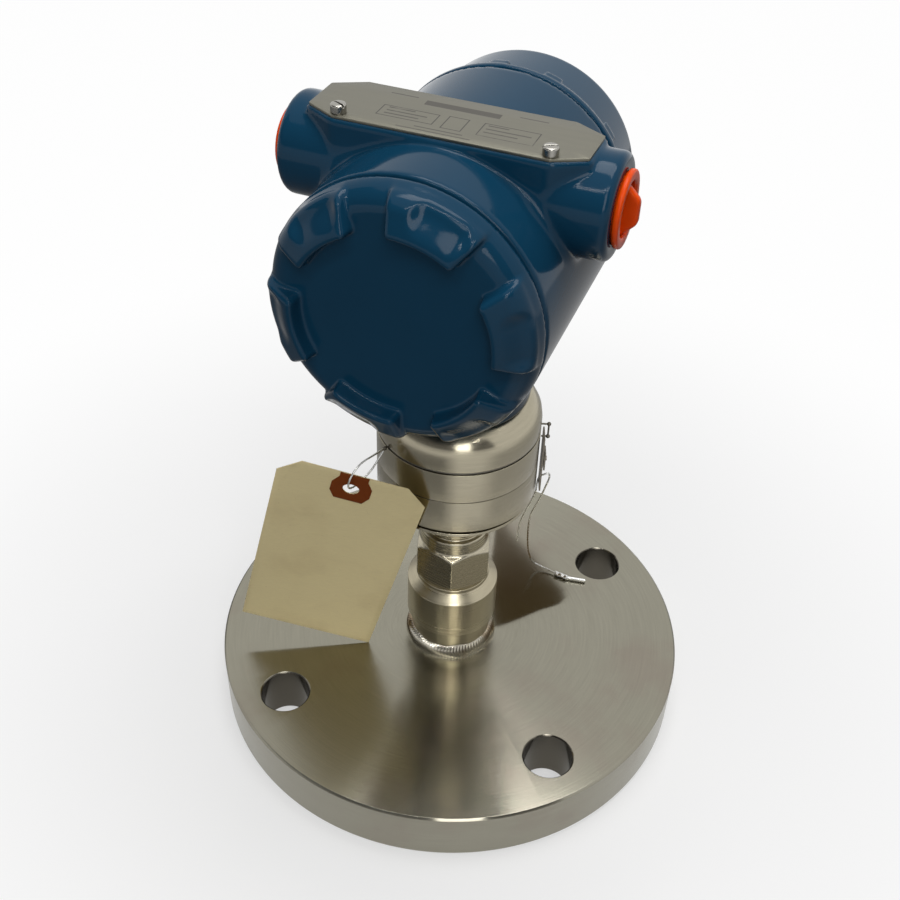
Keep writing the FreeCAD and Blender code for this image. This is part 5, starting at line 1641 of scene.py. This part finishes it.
@dataclass
class ConduitPlugs:
    """Plastic plugs with a grip fin in both conduit entries."""

    boss_reach: float = BOSS_REACH
    forward: float = BOSS_FORWARD
    height: float = AXIS_HEIGHT + BOSS_RISE
    seam: float = 0.3
    rim_radius: float = 11.7
    rim_top: float = 2.3
    rim_edge: float = 0.7
    stem_radius: float = 10.44
    stem_length: float = 13.0
    stem_edge: float = 0.6
    overlap: float = 1.0
    recess_radius: float = 8.4
    recess_edge: float = 0.7
    floor: float = 2.0
    fin_thickness: float = 2.6
    fin_root: float = 8.0
    fin_tip: float = 3.8
    fin_rise: float = 3.2
    fin_top_edge: float = 0.9
    fin_edge: float = 0.7
    fin_fillet: float = 0.5
    margin: float = 1.2
    mesh_step: float = 0.45

    def build(self) -> None:
        """Mould both plugs."""
        wide = self.rim_radius + self.margin
        low = (-wide, -wide, -self.stem_length - self.margin)
        high = (wide, wide, self.rim_top + self.fin_rise + self.margin)
        net = FieldNet(self._plug, low, high, self.mesh_step)
        for side, body in ((-1, Body.LEFT_PLUG), (1, Body.RIGHT_PLUG)):
            name = f"{body.value}_moulding"
            mesh = net.build(name, functools.partial(self._placed, side))
            add_piece(name, mesh, ORANGE, body, [body.value])

    def _placed(self, side: int, points: np.ndarray) -> np.ndarray:
        """Move points from a plug's frame, whose Z points outward, to the CAD frame."""
        x, y, z = points.T
        return np.stack((side * (self.boss_reach + z), y - self.forward, self.height - side * x), axis=1)

    def _plug(self, x: np.ndarray, y: np.ndarray, z: np.ndarray) -> np.ndarray:
        """One plug about its own axis."""
        radius = np.hypot(x, y)
        rim = common(radius - self.rim_radius, slab(z, self.seam, self.rim_top), self.rim_edge)
        layer = slab(z, -self.stem_length, self.rim_top - self.overlap)
        stem = common(radius - self.stem_radius, layer, self.stem_edge)
        recess = np.maximum(radius - self.recess_radius, self.floor - self.stem_length - z)
        cup = cut(np.minimum(rim, stem), recess, self.recess_edge)
        top = self.rim_top + self.fin_rise
        shoulder = self.rim_top - self.floor / 2
        run, rise = self.fin_root - self.fin_tip, top - shoulder
        lean = ((abs(x) - self.fin_root) * rise + (z - shoulder) * run) / math.hypot(run, rise)
        blade = common(np.maximum(lean, abs(x) - self.fin_root), z - top, self.fin_top_edge)
        blade = common(blade, abs(y) - self.fin_thickness / 2, self.fin_edge)
        blade = np.maximum(blade, self.overlap - self.stem_length - z)
        return joined(cup, blade, self.fin_fillet)


@dataclass
class PlateScrew:
    """Cheese-head screw of the nameplate, upright on the plate's underside."""

    plate: float
    hole_radius: float
    slot_angle: float
    head_radius: float = 2.4
    head_height: float = 2.8
    head_edge: float = 0.5
    head_dome: float = 0.03
    play: float = 0.02
    overlap: float = 0.5
    slot_half: float = 0.3
    slot_depth: float = 0.9
    slot_edge: float = 0.1
    margin: float = 0.4
    mesh_step: float = 0.12
    rounds: int = 2

    def mesh(self, name: str) -> bpy.types.Mesh:
        """Mesh the screw."""
        wide = self.head_radius + self.margin
        high = (wide, wide, self._top() + self.margin)
        net = FieldNet(self._shape, (-wide, -wide, -self.margin), high, self.mesh_step, self.rounds)
        return net.build(name, in_place)

    def _top(self) -> float:
        """Height of the head's crown."""
        return self.plate + self.head_height

    def _shape(self, x: np.ndarray, y: np.ndarray, z: np.ndarray) -> np.ndarray:
        """Domed head with a driver slot, and its shank in the plate's hole."""
        radius = np.hypot(x, y)
        crown = z - self._top() + self.head_dome * radius ** 2
        head = common(radius - self.head_radius, crown, self.head_edge)
        head = np.maximum(head, self.plate - z)
        shank = np.maximum(radius - self.hole_radius + self.play, slab(z, 0, self.plate + self.overlap))
        turn = math.radians(self.slot_angle)
        across = abs(x * math.sin(turn) - y * math.cos(turn))
        slot = np.maximum(across - self.slot_half, self._top() - self.slot_depth - z)
        return np.minimum(cut(head, slot, self.slot_edge), shank)


@dataclass
class Nameplate:
    """Octagonal plate on the saddle and its two screws."""

    foot: float = AXIS_HEIGHT + SADDLE_TOP
    thickness: float = 0.8
    middle: float = SADDLE_MIDDLE
    half_length: float = 43.3
    half_width: float = 13.1
    side_half: float = 33.2
    end_half: float = 7.7
    corner_round: float = 0.6
    edge: float = 0.15
    screw_side: float = 32.5
    screw_forward: float = 10.0
    hole_radius: float = 1.3
    slot_turn: float = 25.0
    spacing: float = 4.0

    def build(self) -> None:
        """Cut the plate and turn its screws."""
        quarter = [(self.half_length, self.end_half), (self.side_half, self.half_width)]
        half = quarter + [(-x, y) for x, y in quarter[::-1]]
        corners = half + [(x, -y) for x, y in half[::-1]]
        outline = rounded([(x, y, self.corner_round) for x, y in corners])
        holes = [(side * self.screw_side, -self.screw_forward, self.hole_radius) for side in (-1, 1)]
        mesh = sheet_mesh("plate", outline, holes, self.spacing, self._placed)
        plate = add_piece("plate", mesh, PLATE_ETCHED, Body.HOUSING, ["nameplate"])
        thicken(plate, self.thickness, self.edge)
        screws = (("plate_screw_left", -1, []), ("plate_screw_right", 1, ["nameplate_screws"]))
        for name, side, nodes in screws:
            screw = PlateScrew(self.thickness, self.hole_radius, self.slot_turn * side).mesh(name)
            spot = self._placed(side * self.screw_side, -self.screw_forward)
            screw.transform(Matrix.Translation(spot * MM))
            add_piece(name, screw, SCREW_STEEL, Body.HOUSING, nodes)

    def _placed(self, x: float, y: float) -> Vector:
        """Place of a point of the plate's underside."""
        return Vector((x, y + self.middle, self.foot))


@dataclass
class CardTag:
    """Manila card that hangs by its hole, and its fibre patch."""

    foot: Point = (-27.7, -23.0, 24.0)
    yaw: float = 16.6
    pitch: float = 5.4
    roll: float = 16.3
    width: float = 54.0
    height: float = 108.0
    thickness: float = 0.35
    corner: float = 7.9
    hole_radius: float = 3.0
    hole_drop: float = 8.6
    edge: float = 0.08
    spacing: float = 2.5
    patch_thickness: float = 0.25
    patch_end_half: float = 5.2
    patch_half: float = 7.3
    patch_height: float = 15.6
    patch_bends: tuple[float, ...] = (0.0, 0.16, 0.42, 0.74, 1.0)
    patch_edge: float = 0.06
    patch_spacing: float = 1.5
    curl: float = 4.8

    def build(self) -> None:
        """Cut the card and its patch, and bend them alike."""
        hole = (-self.width / 2, self.height - self.hole_drop, self.hole_radius)
        shoulder = self.height - self.corner
        outline = [
            (0, 0), (0, shoulder), (-self.corner, self.height),
            (self.corner - self.width, self.height), (-self.width, shoulder), (-self.width, 0)]
        mesh = sheet_mesh("card", outline, [hole], self.spacing, self._bent)
        card = add_piece("card", mesh, MANILA, Body.PROCESS, ["card_tag"])
        thicken(card, self.thickness, self.edge)
        lift = functools.partial(self._bent, lift=self.thickness)
        mesh = sheet_mesh("patch", self._patch_outline(hole[0]), [hole], self.patch_spacing, lift)
        patch = add_piece("patch", mesh, PATCH_CARD, Body.PROCESS, ["card_patch"])
        thicken(patch, self.patch_thickness, self.patch_edge)

    def _patch_outline(self, middle: float) -> list[Span]:
        """Outline of the patch, which bulges beside the hole."""
        narrow, wide = self.patch_end_half, self.patch_half
        halves = (narrow, narrow, wide, wide, narrow)
        drops = [self.patch_height * share for share in self.patch_bends]
        right = [(middle + half, self.height - drop) for half, drop in zip(halves, drops)]
        left = [(2 * middle - x, y) for x, y in right]
        return right + left[::-1]

    def _bent(self, x: float, y: float, lift: float = 0.0) -> Vector:
        """Place of a point of the card, which bows a little in its middle."""
        share = -x / self.width
        drop = 1 - y / self.height
        bow = self.curl * math.sin(math.pi * share) * drop * (1 - drop)
        spot = Vector((x, -lift + bow, y))
        for axis, angle in (("Z", self.yaw), ("X", self.pitch), ("Y", self.roll)):
            spot.rotate(Matrix.Rotation(math.radians(angle), 3, axis))
        return spot + Vector(self.foot)


@dataclass
class WireWork:
    """Thin wires of the tags and the seal, and the crimp on the sealing wire."""

    radius: float = 0.35
    card_route: tuple[Point, ...] = (
        (-18.5, -26.1, 135.4), (-19.4, -31.6, 136.8), (-21.9, -38.6, 137.4), (-23.7, -43.0, 133.6),
        (-24.8, -43.0, 128.4), (-24.9, -39.2, 125.2), (-23.4, -34.6, 125.6), (-20.6, -30.0, 129.0),
        (-18.7, -25.9, 134.4))
    seal_route: tuple[Point, ...] = (
        (28.91, 10.47, 104.2), (28.91, 10.47, 109.2), (31.03, 11.23, 110.6), (32.75, 12.07, 111.4),
        (33.21, 12.55, 109.0), (32.2, 12.4, 104.9), (29.87, 14.01, 95.77), (27.45, 17.38, 88.11),
        (24.37, 21.58, 77.91), (22.08, 29.26, 60.63), (20.68, 37.26, 42.71), (21.3, 41.0, 34.0),
        (21.6, 45.0, 27.4), (26.2, 46.4, 25.2), (31.8, 45.05, 25.0))
    short_route: tuple[Point, ...] = (
        (28.91, 10.47, 104.2), (28.91, 10.47, 101.4), (25.94, 12.58, 91.65), (23.14, 14.76, 82.45),
        (21.43, 16.27, 73.92), (21.26, 17.27, 66.25))
    crimp_start: Point = (32.0, 45.0, 25.0)
    crimp_end: Point = (38.2, 44.4, 25.0)
    crimp_tip: Point = (46.0, 45.8, 25.0)
    crimp_radius: float = 1.1
    crimp_steps: int = 24
    dents: tuple[float, ...] = (0.3, 0.72)
    dent_width: float = 0.1
    dent_depth: float = 0.4
    dent_spread: float = 0.4
    lip_width: float = 0.03
    lip_depth: float = 0.25
    tube_radius: float = 0.7
    tube_steps: int = 8
    spline_order: int = 3
    spline_steps: int = 12
    rim_steps: int = 4

    def build(self) -> None:
        """Lay the wires and crimp the sealing wire."""
        crimp = add_piece("crimp_sleeve", self._crimp(), WIRE_STEEL, Body.PROCESS, ["seal_crimp"])
        card = self._wire("card_loop", self.card_route, "card_wire")
        seal = self._wire("sealing_wire", self.seal_route, "seal_wire")
        short = self._wire("sealing_wire_end", self.short_route, "seal_wire_short")

    @staticmethod
    def _metres(spot: Point) -> Point:
        """A point in metres."""
        return tuple(part * MM for part in spot)

    def _wire(self, name: str, route: Sequence[Point], node: str) -> bpy.types.Object:
        """One wire on a smooth spline through its route."""
        curve = bpy.data.curves.new(name, "CURVE")
        curve.dimensions = "3D"
        spline = curve.splines.new("NURBS")
        spline.points.add(len(route) - 1)
        for point, spot in zip(spline.points, route):
            point.co = (*self._metres(spot), 1.0)
        spline.order_u = self.spline_order
        spline.use_endpoint_u = True
        spline.resolution_u = self.spline_steps
        curve.bevel_depth = self.radius * MM
        curve.bevel_resolution = self.rim_steps
        curve.use_fill_caps = True
        return add_piece(name, curve, WIRE_STEEL, Body.PROCESS, [node])

    def _crimp(self) -> bpy.types.Mesh:
        """Sleeve squeezed flat in two places, with the tube end beyond it."""
        start, end, tip = Vector(self.crimp_start), Vector(self.crimp_end), Vector(self.crimp_tip)
        centres, radii = [], []
        for step in range(self.crimp_steps + 1):
            share = step / self.crimp_steps
            dents = sum(math.exp(-((share - dent) / self.dent_width) ** 2) for dent in self.dents)
            squeeze = self.dent_depth * dents
            lip = self.lip_depth * math.exp(-(min(share, 1 - share) / self.lip_width) ** 2)
            radius = self.crimp_radius * (1 - lip)
            centres.append(start.lerp(end, share))
            radii.append((radius * (1 + self.dent_spread * squeeze), radius * (1 - squeeze)))
        for step in range(1, self.tube_steps + 1):
            centres.append(end.lerp(tip, step / self.tube_steps))
            radii.append((self.tube_radius, self.tube_radius))
        return tube_mesh("crimp_sleeve", centres, radii)


@dataclass
class SteelTags:
    """Wire round the module's groove and the riveted steel tag on its hook."""

    def build(self) -> None:
        """Dress the loop and the tag."""
        # the loop's finish carries painted shade
        dress(SHADED_LOOP_WIRE, "tag_loop")
        dress(TAG_STEEL, "steel_tags")


@dataclass(frozen=True)
class Lamp:
    """Rectangular lamp that faces the object."""

    name: str
    place: Point
    size: Span
    power: float
    mirrored: bool = True
    aim: Point = (0.0, 0.0, 130.0)

    def build(self) -> None:
        """Hang the lamp."""
        light = bpy.data.lights.new(self.name, "AREA")
        light.shape = "RECTANGLE"
        light.size, light.size_y = (part * MM for part in self.size)
        light.energy = self.power
        lamp = bpy.data.objects.new(self.name, light)
        lamp.location = Vector(self.place) * MM
        lamp.rotation_euler = (Vector(self.place) - Vector(self.aim)).to_track_quat("Z", "Y").to_euler()
        lamp.visible_glossy = self.mirrored
        bpy.context.scene.collection.objects.link(lamp)


@dataclass
class Studio:
    """Floor, lamps, cards, world and the camera at the photograph's viewing angle."""

    camera_place: Point = (115.12, -318.37, 407.36)
    camera_turn: tuple[float, float, float] = (49.7325, -1.5933, 21.7197)
    lens: float = 47.43
    sensor: float = 36.0
    nearest: float = 10.0
    ambient: float = 0.04
    white: Colour = (1.0, 1.0, 1.0)
    floor_half: float = 4000.0
    floor_drop: float = 0.2
    floor_tone: Colour = (0.12, 0.12, 0.12)
    shadow_tone: Colour = (0.9, 0.9, 0.9)
    shadow_range: Span = (60.0, 350.0)
    white_shares: Span = (0.5, 0.98)
    ring_inner: float = 130.0
    ring_outer: float = 800.0
    ring_height: float = 2.0
    ring_steps: int = 120
    ring_tones: tuple[Span, ...] = (
        (-180.0, 0.25), (-88.0, 0.25), (-68.0, 0.9), (-41.0, 0.9),
        (-18.0, 0.52), (60.0, 0.5), (120.0, 0.35), (180.0, 0.25))
    wall_radius: float = 1000.0
    wall_heights: Span = (380.0, 1500.0)
    wall_spans: tuple[Span, ...] = ((-175.0, -73.0), (-53.0, -22.0))
    wall_steps: int = 24
    wall_tone: Colour = (0.12, 0.12, 0.12)
    # painted shadow: outline of a dark card above the flange, which its mirror shows as a shadow behind the
    # stem
    painted_shadow_outline: tuple[Span, ...] = (
        (-8.2, 83.6), (2.9, 72.6), (36.5, 46.9), (39.0, 43.3), (37.8, 38.2),
        (30.7, 31.3), (21.6, 19.8), (15.5, 13.4), (6.5, 27.5))
    painted_shadow_height: float = 34.0
    painted_shadow_tone: Colour = (0.13, 0.095, 0.05)
    lamps: tuple[Lamp, ...] = (
        Lamp("overhead", (50.0, 200.0, 1150.0), (700.0, 500.0), 7.0),
        Lamp("tube", (200.0, -550.0, 1150.0), (900.0, 16.0), 1.5),
        Lamp("tube", (200.0, -650.0, 1150.0), (900.0, 16.0), 1.5),
        Lamp("front_window", (400.0, -785.0, 760.0), (320.0, 600.0), 2.5),
        Lamp("fill", (-300.0, -900.0, 200.0), (600.0, 300.0), 1.0, mirrored=False))

    def build(self) -> None:
        """Set up the whole studio."""
        scene = bpy.context.scene
        scene.view_settings.view_transform = "Standard"
        self._camera(scene)
        self._floor(scene)
        self._world(scene)
        self._ring_card()
        for number, (start, end) in enumerate(self.wall_spans):
            self._wall(f"wall_flag_{number}", start, end)
        # a dark card seen only in the flange's mirror paints the shadow there
        painted_shadow_outline = [(x, y, self.painted_shadow_height) for x, y in self.painted_shadow_outline]
        self._card("painted_shadow_card", painted_shadow_outline, [tuple(range(len(painted_shadow_outline)))], self.painted_shadow_tone)
        for lamp in self.lamps:
            lamp.build()

    def _camera(self, scene: bpy.types.Scene) -> None:
        """Camera fitted to the photograph."""
        lens = bpy.data.cameras.new("camera")
        lens.lens = self.lens
        lens.sensor_width = self.sensor
        lens.clip_start = self.nearest * MM
        camera = bpy.data.objects.new("camera", lens)
        camera.location = Vector(self.camera_place) * MM
        camera.rotation_euler = tuple(math.radians(angle) for angle in self.camera_turn)
        scene.collection.objects.link(camera)
        scene.camera = camera

    @staticmethod
    def _seen(graph: Graph) -> Value:
        """1 for rays from the camera, a mirror or glass, and 0 for the rest."""
        rays = graph.add("ShaderNodeLightPath").outputs
        kinds = ("Is Camera Ray", "Is Glossy Ray", "Is Transmission Ray")
        return functools.reduce(Value.most, [Value(graph, rays[kind]) for kind in kinds])

    def _floor(self, scene: bpy.types.Scene) -> None:
        """Plain pale floor that keeps the object's shadow."""
        half = self.floor_half * MM
        corners = [(-half, -half, 0), (half, -half, 0), (half, half, 0), (-half, half, 0)]
        mesh = bpy.data.meshes.new("floor")
        mesh.from_pydata(corners, [], [(0, 1, 2, 3)])
        surface = Surface("floor")
        matte = surface.node("ShaderNodeBsdfDiffuse", inputs={"Color": self.floor_tone})
        pale = surface.node("ShaderNodeBsdfDiffuse", inputs={"Color": self.shadow_tone})
        white = surface.node("ShaderNodeEmission", inputs={"Color": self.white, "Strength": 1.0})
        x, y, _ = surface.split(surface.place())
        near, far = self.white_shares
        away = ((x * x + y * y) ** 0.5).fade(*(reach * MM for reach in self.shadow_range))
        inputs = {0: near + (far - near) * away, 1: pale, 2: white}
        shown = surface.node("ShaderNodeMixShader", inputs=inputs)
        inputs = {0: self._seen(surface), 1: matte, 2: shown}
        mesh.materials.append(surface.show(surface.node("ShaderNodeMixShader", inputs=inputs)))
        floor = bpy.data.objects.new("floor", mesh)
        floor.location.z = -self.floor_drop * MM
        scene.collection.objects.link(floor)

    def _ring_card(self) -> None:
        """Ring on the floor whose tone changes round the object, for the bands on the turned pieces."""
        steps = self.ring_steps
        turns = [2 * math.pi * step / steps for step in range(steps)]
        spots = [(radius * math.cos(turn), radius * math.sin(turn), self.ring_height)
                 for radius in (self.ring_inner, self.ring_outer) for turn in turns]
        afters = [(step + 1) % steps for step in range(steps)]
        faces = [(step, after, steps + after, steps + step) for step, after in enumerate(afters)]
        stops = [((azimuth + 180) / 360, (tone, tone, tone)) for azimuth, tone in self.ring_tones]
        self._card("ring_card", spots, faces, stops)

    def _wall(self, name: str, start: float, end: float) -> None:
        """Upright dark flag that stands on part of a circle round the object."""
        steps = self.wall_steps
        turns = [math.radians(start + (end - start) * step / steps) for step in range(steps + 1)]
        spots = [(self.wall_radius * math.cos(turn), self.wall_radius * math.sin(turn), height)
                 for height in self.wall_heights for turn in turns]
        faces = [(step, step + 1, steps + 2 + step, steps + 1 + step) for step in range(steps)]
        self._card(name, spots, faces, self.wall_tone)

    @staticmethod
    def _card(name: str, spots: Sequence[Point], faces: Sequence[tuple[int, ...]],
              tone: Colour | Sequence[tuple[float, Colour]]) -> None:
        """Studio card that only mirrors see, so that gloss and steel have something to show, or a painted
        shadow on the flange.

        Args:
            name: the card's name.
            spots: its corners in millimetres.
            faces: its faces, by corner.
            tone: its colour, or ramp stops for the turn round the object.
        """
        mesh = bpy.data.meshes.new(name)
        mesh.from_pydata([tuple(part * MM for part in spot) for spot in spots], [], faces)
        surface = Surface(name)
        if not isinstance(tone[0], float):
            x, y, _ = surface.split(surface.place())
            turn = surface.math("ARCTAN2", y, x) / (2 * math.pi) + 0.5
            tone = surface.node("ShaderNodeValToRGB", {"stops": tone}, {0: turn})
        glow = surface.node("ShaderNodeEmission", inputs={"Color": tone, "Strength": 1.0})
        mesh.materials.append(surface.show(glow))
        card = bpy.data.objects.new(name, mesh)
        card.visible_camera = False
        card.visible_diffuse = False
        card.visible_transmission = False
        card.visible_shadow = False
        bpy.context.scene.collection.objects.link(card)

    def _world(self, scene: bpy.types.Scene) -> None:
        """White background with a softer light of its own."""
        world = bpy.data.worlds.new("studio")
        world.use_nodes = True
        graph = Graph(world.node_tree)
        strength = self.ambient + (1 - self.ambient) * self._seen(graph)
        light = graph.node("ShaderNodeBackground", inputs={"Color": self.white, "Strength": strength})
        graph.add("ShaderNodeOutputWorld", inputs={"Surface": light})
        scene.world = world


def main() -> None:
    """Build every sub-assembly in order."""
    logging.basicConfig(level=logging.INFO, format="%(message)s")
    for assembly in (
        Studio(), WireWork(), Flange(), WeldedStem(), SensorModule(), Housing(), FrontCover(), RearCover(),
        ConduitPlugs(), Nameplate(), CardTag(), SteelTags(),
    ):
        assembly.build()


if __name__ == "__main__":
    main()
